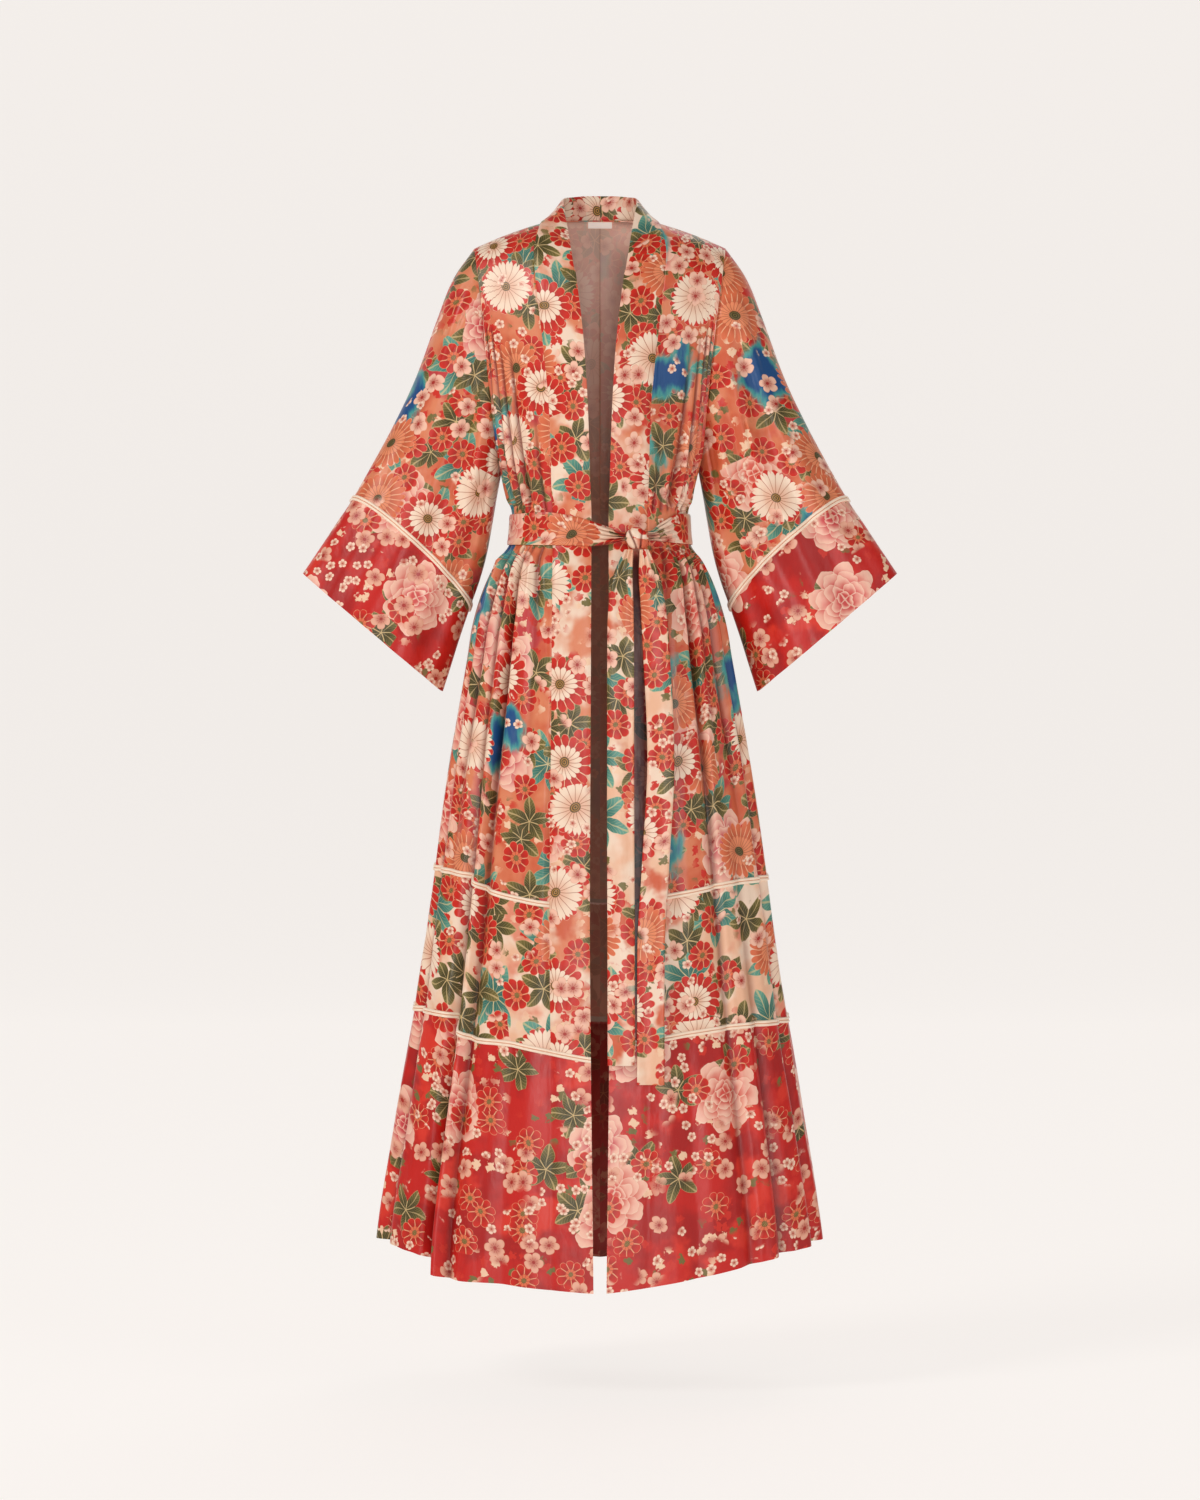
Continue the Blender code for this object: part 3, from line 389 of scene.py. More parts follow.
# %% Depths of the folds
FOLD_DEPTHS = {
    ("front", "right"): (
        # of each line: chest, above belt, below belt, hip, tiers, hem
        (0, 1, 1, 1, 1, 2), (0, -1, -2, -1, -1, -3), (1, 2, 3, 2, 1, 2),
        (0, -2, 2, 4, 3, 6), (-2, -5, -8, -8, -4, -2), (2, 4, 4, 4, 5, 13),
        (0, -4, -3, 0, -9, -20), (3, 5, 4, 5, 2, -2), (-2, -5, -4, -2, 3, 6),
        (3, 4, 5, 5, 4, 7), (-3, -6, -8, -7, -4, -5), (2, 4, 4, 4, 5, 8),
        (-1, -3, -3, -2, -2, -4),
    ),
    ("front", "left"): (
        (0, 1, 1, 1, 1, 1), (0, -1, -1, -1, -1, -2), (1, 2, 2, 2, 1, 3),
        (0, -3, 3, 3, 2, 2), (-2, -6, -9, -7, -3, -4), (2, 4, 5, 4, 2, 3),
        (0, -5, -2, 1, 3, 6), (3, 5, 3, 2, -3, -9), (-2, -6, -5, -3, 2, 4),
        (3, 5, 6, 5, 4, 9), (-3, -5, -9, -6, -5, -8), (2, 4, 4, 4, 4, 6),
        (-1, -3, -3, -2, -2, -4),
    ),
    ("back", "right"): (
        (1, 2, 2, 2, 2, 4), (-1, -3, -3, -3, -3, -6), (1, 2, 3, 4, 4, 8),
        (0, -3, -5, -5, -4, -5), (1, 3, 4, 4, 4, 6), (-1, -4, -6, -6, -6, -12),
        (2, 4, 5, 6, 6, 10), (-1, -4, -6, -5, -3, -4), (2, 5, 4, 4, 3, 6),
        (-2, -6, -8, -7, -6, -9), (2, 4, 4, 4, 5, 8), (-1, -4, -4, -4, -4, -6),
        (1, 2, 2, 2, 2, 3),
    ),
    ("back", "left"): (
        (1, 1, 2, 2, 2, 3), (-1, -2, -2, -3, -4, -8), (1, 3, 4, 4, 3, 5),
        (0, -4, -6, -5, -3, -3), (1, 3, 3, 5, 5, 9), (-1, -3, -5, -6, -5, -8),
        (2, 4, 6, 5, 4, 6), (-1, -5, -8, -7, -6, -11), (2, 4, 5, 5, 5, 9),
        (-2, -5, -6, -5, -3, -4), (2, 5, 5, 4, 4, 6), (-1, -4, -5, -4, -3, -5),
        (1, 2, 2, 2, 2, 2),
    ),
}
FOLD_DEPTH_HEIGHTS = (1.170, 1.045, 0.955, 0.800, 0.450, 0.020)
FOLDS_END = 1.310
PRESSED_FROM = 0.978
PRESSED_TO = 1.028
print("sets of fold depths:", [" ".join(key) for key in FOLD_DEPTHS])

# %% [markdown]
# A sleeve is a row of rings from the armhole to the opening. A ring is given by its highest and its
# lowest point and its depth. The run counts rings from 0 at the armhole over 1 at the cuff's seam.

# %% Rings and folds of a sleeve
# Rings of a sleeve and its cuff: the outer and the under edge, the half depth, how far the ring
# bows up towards the shoulder halfway round, and how strongly the sleeve's folds show there
SLEEVE = Table(
    "run outer_x outer_z under_x under_z depth bow folds",
    (0.00, 0.168, 1.379, 0.131, 1.086, 0.058, 0.000, 0.0),
    (0.14, 0.196, 1.338, 0.1335, 1.072, 0.062, 0.002, 0.3),
    (0.30, 0.218, 1.284, 0.1385, 1.045, 0.060, 0.004, 1.0),
    (0.48, 0.246, 1.208, 0.1445, 1.010, 0.056, 0.008, 1.0),
    (0.66, 0.274, 1.148, 0.1520, 0.970, 0.053, 0.012, 1.0),
    (0.83, 0.303, 1.094, 0.1620, 0.934, 0.051, 0.016, 1.0),
    (1.00, 0.332, 1.043, 0.1750, 0.8976, 0.050, 0.018, 1.0),
    (1.20, 0.353, 1.012, 0.1870, 0.8620, 0.049, 0.012, 0.9),
    (1.40, 0.375, 0.979, 0.1985, 0.8250, 0.048, 0.006, 0.8),
    (1.60, 0.398, 0.945, 0.2105, 0.7870, 0.047, 0.000, 0.7),
)
# Folds along a sleeve in millimetres, by how high they lie between the under and the outer edge
SLEEVE_FOLDS = Table(
    "up front back",
    (0.00, 0, 0),
    (0.08, 1, 1),
    (0.16, -3, -2),
    (0.28, 4, 3),
    (0.42, -4, -4),
    (0.56, 4, 3),
    (0.70, -4, -3),
    (0.82, 3, 2),
    (0.90, -1, -1),
    (1.00, 0, 0),
)
opening = SLEEVE.rows[-1]
print("sleeve opening", round(math.dist(opening[1:3], opening[3:5]), 3), "m from edge to edge")

# %% [markdown]
# The body of the robe is a stack of soft rings. Below the arms a ring is a rounded oblong, and above
# them the front and back close over the shoulders. Angles say how far round a point lies, from the
# centre front or from the centre back to the side seam at 90 degrees.

# %% Points on the smooth robe
CHEST_FULL_FROM = 0.3
SHOULDER_STRAIGHT = 0.75


def unit(vectors):
    """The same directions with a length of one."""
    return vectors / np.maximum(np.linalg.norm(vectors, axis=-1, keepdims=True), 1e-9)


def grid_normals(points, closed=False):
    """Unit normals of a grid of points, from its rows and columns."""
    if closed:
        across = np.roll(points, -1, axis=1) - np.roll(points, 1, axis=1)
    else:
        across = np.gradient(points, axis=1)
    along = np.gradient(points, axis=0)
    return unit(np.cross(across, along))


def turned_to(away, normals):
    """The normals, turned over wherever they point against these directions."""
    return normals * np.sign(np.sum(normals * away, axis=-1, keepdims=True))


def ring_parts(angle):
    """How far across and how far forward a point of a unit ring lies at an angle."""
    turn = np.radians(angle)
    across = np.abs(np.sin(turn)) ** (2 / RING_POWER)
    forward = np.abs(np.cos(turn)) ** (2 / RING_POWER)
    return across, forward


def ring_angle(share):
    """The angle at which a ring reaches this share of its half width."""
    return np.degrees(np.arcsin(ramp(share) ** (RING_POWER / 2)))


def armhole_part(height):
    """How far up the armhole a height lies, from 0 at the underarm to 1 at the shoulder."""
    return ramp((height - UNDERARM_HEIGHT) / (NECK_POINT_HEIGHT - UNDERARM_HEIGHT))


def half_width(height):
    """Half the body's width: its rings below the arms, the line of the armhole above."""
    part = armhole_part(height)
    above = UNDERARM_HALF_WIDTH + (SHOULDER_HALF_WIDTH - UNDERARM_HALF_WIDTH) * part
    return np.where(height > UNDERARM_HEIGHT, above, BODY.read("half_width", height))


def armhole_opening(part):
    """How far the armhole stands open to the front and the back at each part of its height."""
    return ARMHOLE_HALF_DEPTH * (1 - np.abs(2 * part - 1) ** ARMHOLE_POWER) ** (1 / ARMHOLE_POWER)


def ridge(x):
    """Height of the shoulder line, and how deep the neckline is cut, at a distance from the centre."""
    share = ramp(np.abs(x) / NECK_HALF_WIDTH)
    cut = np.sqrt(1 - share**2)
    slope = ramp((np.abs(x) - NECK_HALF_WIDTH) / (SHOULDER_HALF_WIDTH - NECK_HALF_WIDTH))
    drop = SHOULDER_DROP * slope * (SHOULDER_STRAIGHT + (1 - SHOULDER_STRAIGHT) * slope)
    return NECK_POINT_HEIGHT + NAPE_RISE * cut - drop, NAPE_DEPTH * cut


def body_points(panel, side, angle, height):
    """Points of the smooth body; the angle is from the centre front, or from the centre back."""
    angle, height = np.broadcast_arrays(np.asarray(angle, float), np.asarray(height, float))
    across, forward = ring_parts(angle)
    width = half_width(height)
    x = width * across
    part = armhole_part(height)
    above = height > UNDERARM_HEIGHT
    arch = (1 - part**SHOULDER_CURVE) ** (1 / SHOULDER_CURVE)
    full = CHEST_FRONT if panel == "front" else CHEST_BACK
    start = BODY.read(panel, UNDERARM_HEIGHT)
    easing = np.minimum(part / CHEST_FULL_FROM, 1)
    swell = start + (full - start) * easing
    opening = armhole_opening(part)
    profile = forward * (1 - easing) + (1 - across**2) * easing
    top, cut = ridge(x)
    if panel == "front":
        cut = cut * 0
    depth_above = cut * (1 - arch) + opening + (swell * arch - opening) * profile
    depth = np.where(above, depth_above, BODY.read(panel, height) * forward)
    z = np.where(above, UNDERARM_HEIGHT + part * (top - UNDERARM_HEIGHT), height)
    facing = -1 if panel == "front" else 1
    return np.stack([side * x, facing * depth, z], axis=-1)


drop = float(ridge(0.0)[0] - ridge(SHOULDER_HALF_WIDTH)[0])
print("the shoulder line drops", round(drop, 3), "m from the nape to the sleeve")

# %% [markdown]
# The folds are pushed out of the smooth robe and into it along level directions. A smooth curve runs
# down every fold line's table row. The belt presses all folds flat, and they end at the chest. Cloth
# hangs with deeper valleys than ridges, so the valleys' depths are raised more.

# %% Folds along the smooth robe
VALLEYS_DEEPER = 1.45
RIDGES_HIGHER = 1.15
BELOW_HEM = -0.001
LEAST_DEPTH = 0.05


def fold_lines(panel, side_name, height):
    """Angle and depth of every fold line at these heights, the lines on the last axis."""
    places = np.array(FRONT_FOLDS if panel == "front" else BACK_FOLDS)
    depths = np.array(FOLD_DEPTHS[panel, side_name], dtype=float) / 1000
    angle_heights = np.array(FOLD_ANGLE_HEIGHTS[::-1])
    stops = (NECK_POINT_HEIGHT, FOLDS_END, *FOLD_DEPTH_HEIGHTS[:2], PRESSED_TO, PRESSED_FROM)
    depth_heights = np.array((*stops, *FOLD_DEPTH_HEIGHTS[2:], BELOW_HEM))[::-1]
    angles = []
    sizes = []
    for line, depth in zip(places, depths):
        angles.append(smooth_read(angle_heights, np.array(line[::-1]), height))
        shown = (0, 0, depth[0], depth[1], 0, 0, *depth[2:], depth[5])
        sizes.append(smooth_read(depth_heights, np.array(shown[::-1]), height))
    sizes = np.stack(sizes, axis=-1)
    return np.stack(angles, axis=-1), np.where(sizes < 0, sizes * VALLEYS_DEEPER, sizes * RIDGES_HIGHER)


def outward(panel, side, angle, height):
    """Level unit directions that point away from the body."""
    angle, height = np.broadcast_arrays(angle, height)
    across, forward = ring_parts(angle)
    width = half_width(height)
    depth = np.maximum(BODY.read(panel, np.minimum(height, UNDERARM_HEIGHT)), LEAST_DEPTH)
    facing = -1 if panel == "front" else 1
    x = side * across ** (RING_POWER - 1) / width
    y = facing * forward ** (RING_POWER - 1) / depth
    return unit(np.stack([x, y, np.zeros(across.shape)], axis=-1))


def draped_points(panel, side_name, angle, height):
    """Points of the cloth with its folds."""
    side = SIDES[side_name]
    smooth = body_points(panel, side, angle, height)
    pushed = fold_depth(panel, side_name, angle, height)
    return smooth + outward(panel, side, angle, height) * pushed[..., None]


def tier_height(line, side_name, panel, angle):
    """Height of a piping line or the hem at an angle of the front or the back."""
    turned = angle if panel == "front" else 180 - angle
    return TIERS.read(f"{line}_{side_name}", turned)


deepest = [float(fold_lines("front", name, np.array([0.8]))[1].min()) for name in SIDES]
print("deepest valley at the hip, left and right:", [round(depth * 1000, 1) for depth in deepest], "mm")

# %% [markdown]
# The print is painted by shader nodes on the flat pattern, in metres, so no picture is needed and a
# flower is as large on the sleeve as on the hem. A small class adds and joins the nodes, so that the
# recipes stay readable, and dyes are written as web codes.

# %% Helpers for shader nodes
MATERIALS = {}
TURN = 2 * math.pi


def dye(code):
    """A colour written as a six-digit web code, as linear light."""
    parts = [int(code[k : k + 2], 16) / 255 for k in (0, 2, 4)]
    return tuple(p / 12.92 if p <= 0.04045 else ((p + 0.055) / 1.055) ** 2.4 for p in parts) + (1.0,)


class Recipe:
    """Adds nodes to a tree and joins them, so that a recipe reads from top to bottom."""

    def __init__(self, tree):
        self.tree = tree

    def node(self, kind, **settings):
        made = self.tree.nodes.new(kind)
        for name, value in settings.items():
            setattr(made, name, value)
        return made

    def feed(self, socket, value):
        if isinstance(value, bpy.types.NodeSocket):
            self.tree.links.new(value, socket)
        else:
            socket.default_value = value

    def math(self, operation, *values):
        made = self.node("ShaderNodeMath", operation=operation)
        for socket, value in zip(made.inputs, values):
            self.feed(socket, value)
        return made.outputs[0]

    def vector(self, operation, *values):
        made = self.node("ShaderNodeVectorMath", operation=operation)
        for socket, value in zip(made.inputs, values):
            self.feed(socket, value)
        return made.outputs["Value" if operation == "LENGTH" else "Vector"]

    def soft_step(self, value, low, high):
        made = self.node("ShaderNodeMapRange", interpolation_type="SMOOTHSTEP")
        for name, given in (("Value", value), ("From Min", low), ("From Max", high)):
            self.feed(made.inputs[name], given)
        return made.outputs["Result"]

    def mix(self, part, first, second, blend="MIX"):
        made = self.node("ShaderNodeMix", data_type="RGBA", blend_type=blend)
        for number, given in ((0, part), (6, first), (7, second)):
            self.feed(made.inputs[number], given)
        return made.outputs[2]

    def noise(self, place, scale, detail=2.0, output="Fac"):
        made = self.node("ShaderNodeTexNoise", noise_dimensions="2D")
        self.feed(made.inputs["Vector"], place)
        self.feed(made.inputs["Scale"], scale)
        made.inputs["Detail"].default_value = detail
        return made.outputs[output]

    def use(self, group, **values):
        made = self.node("ShaderNodeGroup")
        made.node_tree = bpy.data.node_groups[group]
        for name, value in values.items():
            self.feed(made.inputs[name.replace("_", " ").capitalize()], value)
        return made.outputs

    def times(self, *values):
        return self.math("MULTIPLY", *values)

    def plus(self, *values):
        return self.math("ADD", *values)

    def without(self, value):
        """One minus the value: the rest of a mask."""
        return self.math("SUBTRACT", 1.0, value)

    def swing(self, value, amount):
        """Turns a noise that wavers round a half into one that wavers round zero."""
        return self.times(self.math("SUBTRACT", value, 0.5), amount)


print("a cream dye as linear light:", [round(part, 3) for part in dye("F5DDC9")])

# %% [markdown]
# What more than one material needs is a node group with named inputs and outputs. It gives out only
# colours, masks, heights and gloss; the shader that uses them stays in the material.

# %% Node groups with named sockets
SOCKETS = {"number": "NodeSocketFloat", "place": "NodeSocketVector", "colour": "NodeSocketColor"}


def new_group(name, inputs, outputs):
    """Starts a node group; returns its recipe, its inputs by name and a function that ends it.

    An input is a place, a colour, or a number that is given as its usual value.
    """
    tree = bpy.data.node_groups.new(name, "ShaderNodeTree")
    for label, kind in inputs.items():
        if kind in SOCKETS:
            tree.interface.new_socket(label, in_out="INPUT", socket_type=SOCKETS[kind])
        else:
            socket = tree.interface.new_socket(label, in_out="INPUT", socket_type=SOCKETS["number"])
            socket.default_value = kind
    for label, kind in outputs.items():
        tree.interface.new_socket(label, in_out="OUTPUT", socket_type=SOCKETS[kind])
    recipe = Recipe(tree)
    start = recipe.node("NodeGroupInput")
    end = recipe.node("NodeGroupOutput")

    def finish(**values):
        for label, value in values.items():
            recipe.feed(end.inputs[label], value)

    return recipe, start.outputs, finish


print("kinds of sockets:", ", ".join(SOCKETS))

# %% [markdown]
# Flowers are strewn over cloth with a Voronoi texture: every cell holds one. Inside a cell the
# distance from its centre and the turn round it are all that is needed to draw petals. The cell's own
# random colour says whether it holds a flower at all, how that is turned and which dye it takes.

# %% Group: places for flowers
def group_places():
    r, given, finish = new_group(
        "flower places",
        {"Cloth": "place", "Shift": "place", "Spacing": 0.1, "Scatter": 0.7, "Share": 0.7},
        {"Radius": "number", "Turn": "number", "Present": "number", "Chance": "number"},
    )
    place = r.vector("ADD", given["Cloth"], given["Shift"])
    cells = r.node("ShaderNodeTexVoronoi", voronoi_dimensions="2D", feature="F1")
    r.feed(cells.inputs["Vector"], place)
    r.feed(cells.inputs["Scale"], r.math("DIVIDE", 1.0, given["Spacing"]))
    r.feed(cells.inputs["Randomness"], given["Scatter"])
    from_centre = r.vector("SUBTRACT", place, cells.outputs["Position"])
    parts = r.node("ShaderNodeSeparateXYZ")
    r.feed(parts.inputs[0], from_centre)
    chances = r.node("ShaderNodeSeparateColor")
    r.feed(chances.inputs[0], cells.outputs["Color"])
    turn = r.math("DIVIDE", r.math("ARCTAN2", parts.outputs["Y"], parts.outputs["X"]), TURN)
    turn = r.plus(r.plus(turn, 1.0), chances.outputs["Red"])
    present = r.math("GREATER_THAN", given["Share"], chances.outputs["Blue"])
    flat_centre = r.vector("MULTIPLY", from_centre, (1.0, 1.0, 0.0))
    finish(Radius=r.vector("LENGTH", flat_centre), Turn=turn, Present=present,
           Chance=chances.outputs["Green"])


group_places()
print("group:", bpy.data.node_groups["flower places"].name)

# %% [markdown]
# A ring of petals is one repeated wedge. `Depth` says how deep the notches between the petals are and
# `Blunt` how round the tips are: a low value gives pointed leaves, a high one gives broad petals. The
# pale outline is the line of resist that keeps one dye from running into the next.

# %% Group: a ring of petals
PRINT_EDGE = 0.0004
SHARP_PART = 0.4


def group_petals():
    r, given, finish = new_group(
        "petal ring",
        {"Radius": 0.0, "Turn": 0.0, "Count": 16.0, "Reach": 0.03, "Depth": 0.2, "Blunt": 3.0,
         "Line": 0.0008},
        {"Petals": "number", "Outline": "number", "Across": "number", "Along": "number"},
    )
    wedge = r.math("FRACT", r.times(given["Turn"], given["Count"]))
    across = r.times(r.math("ABSOLUTE", r.math("SUBTRACT", wedge, 0.5)), 2.0)
    notch = r.times(given["Depth"], r.math("POWER", across, given["Blunt"]))
    edge = r.times(given["Reach"], r.without(notch))
    inside = r.math("SUBTRACT", edge, given["Radius"])
    petals = r.soft_step(inside, -PRINT_EDGE, PRINT_EDGE)
    wide = r.math("DIVIDE", r.times(given["Radius"], math.pi), given["Count"])
    to_side = r.times(r.without(across), wide)
    to_rim = r.math("MINIMUM", inside, to_side)
    thin = r.times(given["Line"], SHARP_PART)
    outline = r.times(petals, r.without(r.soft_step(to_rim, thin, given["Line"])))
    along = r.math("DIVIDE", given["Radius"], given["Reach"])
    finish(Petals=petals, Outline=outline, Across=across, Along=along)


def petals(r, given, **values):
    """A ring of petals whose radius, turn, count and reach come from the group's own inputs."""
    shared = {name.lower(): given[name] for name in ("Radius", "Turn", "Count", "Reach") if name in given}
    return r.use("petal ring", **(shared | values))


group_petals()
print("group:", bpy.data.node_groups["petal ring"].name)

# %% [markdown]
# The chrysanthemum is the main motif: an outer ring of petals, an inner ring in a second colour and a
# seedy heart. With one colour and many fine petals the same group gives the plain peach one.

# %% Group: chrysanthemum
HEART_ENDS = 0.19
HEART_EDGE = 0.04
SEED_RINGS = 95.0


def group_chrysanthemum():
    r, given, finish = new_group(
        "chrysanthemum",
        {"Radius": 0.0, "Turn": 0.0, "Count": 16.0, "Reach": 0.036, "Inner": 0.66,
         "Outer dye": "colour", "Inner dye": "colour", "Line dye": "colour", "Heart dye": "colour"},
        {"Colour": "colour", "Mask": "number"},
    )
    outer = petals(r, given, depth=0.20, blunt=2.6)
    turned = r.plus(given["Turn"], r.math("DIVIDE", 0.5, given["Count"]))
    reach = r.times(given["Reach"], given["Inner"])
    inner = petals(r, given, turn=turned, reach=reach, depth=0.22, blunt=2.4, line=0.0006)
    deep = r.times(r.soft_step(outer["Along"], 1.0, 0.35), 0.35)
    colour = r.mix(deep, given["Outer dye"], dye("8E2A1E"), "MULTIPLY")
    colour = r.mix(outer["Outline"], colour, given["Line dye"])
    deep = r.times(r.soft_step(inner["Along"], 0.75, 0.2), 0.45)
    tinted = r.mix(deep, given["Inner dye"], dye("D98B62"))
    tinted = r.mix(r.times(inner["Outline"], 0.75), tinted, dye("B5694A"))
    colour = r.mix(inner["Petals"], colour, tinted)
    heart = r.without(r.soft_step(outer["Along"], HEART_ENDS - HEART_EDGE, HEART_ENDS))
    seeds = r.math("GREATER_THAN", r.math("SINE", r.times(outer["Along"], SEED_RINGS)), 0.1)
    seedy = r.mix(seeds, given["Heart dye"], dye("4E4422"))
    colour = r.mix(heart, colour, seedy)
    finish(Colour=colour, Mask=outer["Petals"])


group_chrysanthemum()
print("group:", bpy.data.node_groups["chrysanthemum"].name)

# %% [markdown]
# Leaves stand behind the flowers in rosettes of pointed lobes, darker towards the stalk, with light
# veins: one down the middle of each lobe and short ribs that leave it at a slant.

# %% Group: leaves
def group_leaves():
    r, given, finish = new_group(
        "leaves",
        {"Radius": 0.0, "Turn": 0.0, "Count": 5.0, "Reach": 0.034, "Dye": "colour",
         "Dark dye": "colour", "Line dye": "colour"},
        {"Colour": "colour", "Mask": "number"},
    )
    lobes = petals(r, given, depth=0.62, blunt=1.25, line=0.0009)
    colour = r.mix(r.soft_step(lobes["Along"], 0.2, 0.95), given["Dark dye"], given["Dye"])
    middle = r.without(r.soft_step(lobes["Across"], 0.03, 0.09))
    slant = r.times(lobes["Across"], 3.2)
    ribs = r.math("FRACT", r.math("SUBTRACT", r.times(lobes["Along"], 6.0), slant))
    ribs = r.soft_step(r.math("ABSOLUTE", r.math("SUBTRACT", ribs, 0.5)), 0.09, 0.03)
    veins = r.math("MAXIMUM", middle, r.times(ribs, 0.55))
    veins = r.math("MAXIMUM", lobes["Outline"], r.times(veins, 0.75))
    finish(Colour=r.mix(veins, colour, given["Line dye"]), Mask=lobes["Petals"])


group_leaves()
print("group:", bpy.data.node_groups["leaves"].name)

# %% [markdown]
# A peony is five scalloped rings over each other, each light at its rim and dark below. A slow noise
# moves its edge in and out, which keeps it from looking stamped.

# %% Group: peony
PEONY_RINGS = (
    # share of the reach, petals, turn
    (1.0, 8.0, 0.0),
    (0.80, 7.0, 0.31),
    (0.60, 6.0, 0.12),
    (0.42, 5.0, 0.43),
    (0.24, 4.0, 0.2),
)
PEONY_WOBBLE = 0.010


def group_peony():
    r, given, finish = new_group(
        "peony",
        {"Radius": 0.0, "Turn": 0.0, "Cloth": "place", "Reach": 0.05, "Rim dye": "colour",
         "Deep dye": "colour"},
        {"Colour": "colour", "Mask": "number"},
    )
    wobble = r.swing(r.noise(given["Cloth"], 70.0, 1.0), PEONY_WOBBLE)
    radius = r.math("MAXIMUM", r.plus(given["Radius"], wobble), 0.0)
    colour = mask = None
    for share, count, turned in PEONY_RINGS:
        ring = r.use("petal ring", radius=radius, turn=r.plus(given["Turn"], turned), count=count,
                     reach=r.times(given["Reach"], share), depth=0.26, blunt=2.2, line=0.0011)
        bright = r.soft_step(ring["Along"], 0.50, 0.96)
        petal = r.mix(bright, given["Deep dye"], given["Rim dye"])
        petal = r.mix(r.times(ring["Outline"], 0.7), petal, dye("F6DDC6"))
        colour = petal if colour is None else r.mix(ring["Petals"], colour, petal)
        mask = ring["Petals"] if mask is None else mask
    finish(Colour=colour, Mask=mask)


group_peony()
print("group:", bpy.data.node_groups["peony"].name, "of", len(PEONY_RINGS), "rings")

# %% [markdown]
# Blossoms are the smallest flowers and lie on top of all others, in clusters and in fine sprays.
# They have five petals, a dark eye and short rays round it.

# %% Group: blossom
RAYS = 10


def group_blossom():
    r, given, finish = new_group(
        "blossom",
        {"Radius": 0.0, "Turn": 0.0, "Reach": 0.013, "Dye": "colour", "Eye dye": "colour"},
        {"Colour": "colour", "Mask": "number"},
    )
    ring = petals(r, given, count=5.0, depth=0.34, blunt=2.8, line=0.0007)
    deep = r.times(r.soft_step(ring["Along"], 0.75, 0.2), 0.55)
    colour = r.mix(deep, given["Dye"], given["Eye dye"])
    colour = r.mix(r.times(ring["Outline"], 0.55), colour, dye("D9906E"))
    rays = r.math("GREATER_THAN", r.math("COSINE", r.times(given["Turn"], TURN * RAYS)), 0.75)
    short = r.soft_step(ring["Along"], 0.48, 0.42)
    colour = r.mix(r.times(rays, r.times(short, 0.6)), colour, given["Eye dye"])
    eye = r.soft_step(ring["Along"], 0.19, 0.15)
    finish(Colour=r.mix(eye, colour, given["Eye dye"]), Mask=ring["Petals"])


group_blossom()
print("groups so far:", sorted(group.name for group in bpy.data.node_groups))

# %% [markdown]
# The print has ten layers. A table says how far apart a layer's motifs lie, how unevenly and from
# which place of the pattern on. Another one says which motif it is, and its size and dyes.

# %% Layers of the print
LAYERS = {
    # spacing, scatter, shift
    "blots": (0.165, 0.9, (0.31, 0.77, 0.0)),
    "teal": (0.098, 0.8, (1.13, 0.21, 0.0)),
    "olive": (0.060, 0.8, (2.57, 1.93, 0.0)),
    "peonies": (0.128, 0.7, (3.41, 2.08, 0.0)),
    "red": (0.046, 0.8, (4.19, 3.37, 0.0)),
    "plain": (0.112, 0.7, (5.03, 4.61, 0.0)),
    "ringed": (0.100, 0.65, (6.37, 5.11, 0.0)),
    "blossoms": (0.038, 0.75, (7.91, 6.29, 0.0)),
    "sprays": (0.019, 0.85, (8.47, 7.73, 0.0)),
    "dabs": (0.0155, 0.9, (9.71, 8.13, 0.0)),
}
PRINTED_MOTIFS = {
    # motif, petals, reach and dyes
    "teal": ("leaves", dict(count=6.0, reach=0.046, dye=dye("74AD9B"), dark_dye=dye("35786F"),
                            line_dye=dye("D9C99E"))),
    "olive": ("leaves", dict(count=5.0, reach=0.033, dye=dye("867A44"), dark_dye=dye("514A22"),
                             line_dye=dye("D8BE8E"))),
    "peonies": ("peony", dict(reach=0.050, rim_dye=dye("F6C8B4"))),
    "red": ("chrysanthemum", dict(count=9.0, reach=0.020, inner=0.42, outer_dye=dye("D8341F"),
                                  inner_dye=dye("E8805A"), line_dye=dye("E9B48E"), heart_dye=dye("B7975A"))),
    "plain": ("chrysanthemum", dict(count=22.0, reach=0.037, inner=0.55, outer_dye=dye("E5835B"),
                                    inner_dye=dye("EA9A73"), line_dye=dye("F2BF9B"),
                                    heart_dye=dye("7A6A3A"))),
    "ringed": ("chrysanthemum", dict(count=17.0, reach=0.038, outer_dye=dye("D8341F"),
                                     inner_dye=dye("F7E0CB"), line_dye=dye("F0CDAE"),
                                     heart_dye=dye("B98B48"))),
    "blossoms": ("blossom", dict(reach=0.0135, eye_dye=dye("B5392F"))),
    "sprays": ("blossom", dict(reach=0.0066, dye=dye("F8DBC6"), eye_dye=dye("C04A34"))),
}
print("print layers:", ", ".join(LAYERS))

# %% [markdown]
# It is built up as a printer would: a mottled ground with small dabs, then leaves, peonies, small red
# flowers, soft blots of blue, plain and ringed chrysanthemums and at last the small blossoms. Every
# material sets its own ground and how much of each it wants, so that all cloths are one family.

# %% Group: the print
HAND_WOBBLE = 0.0075


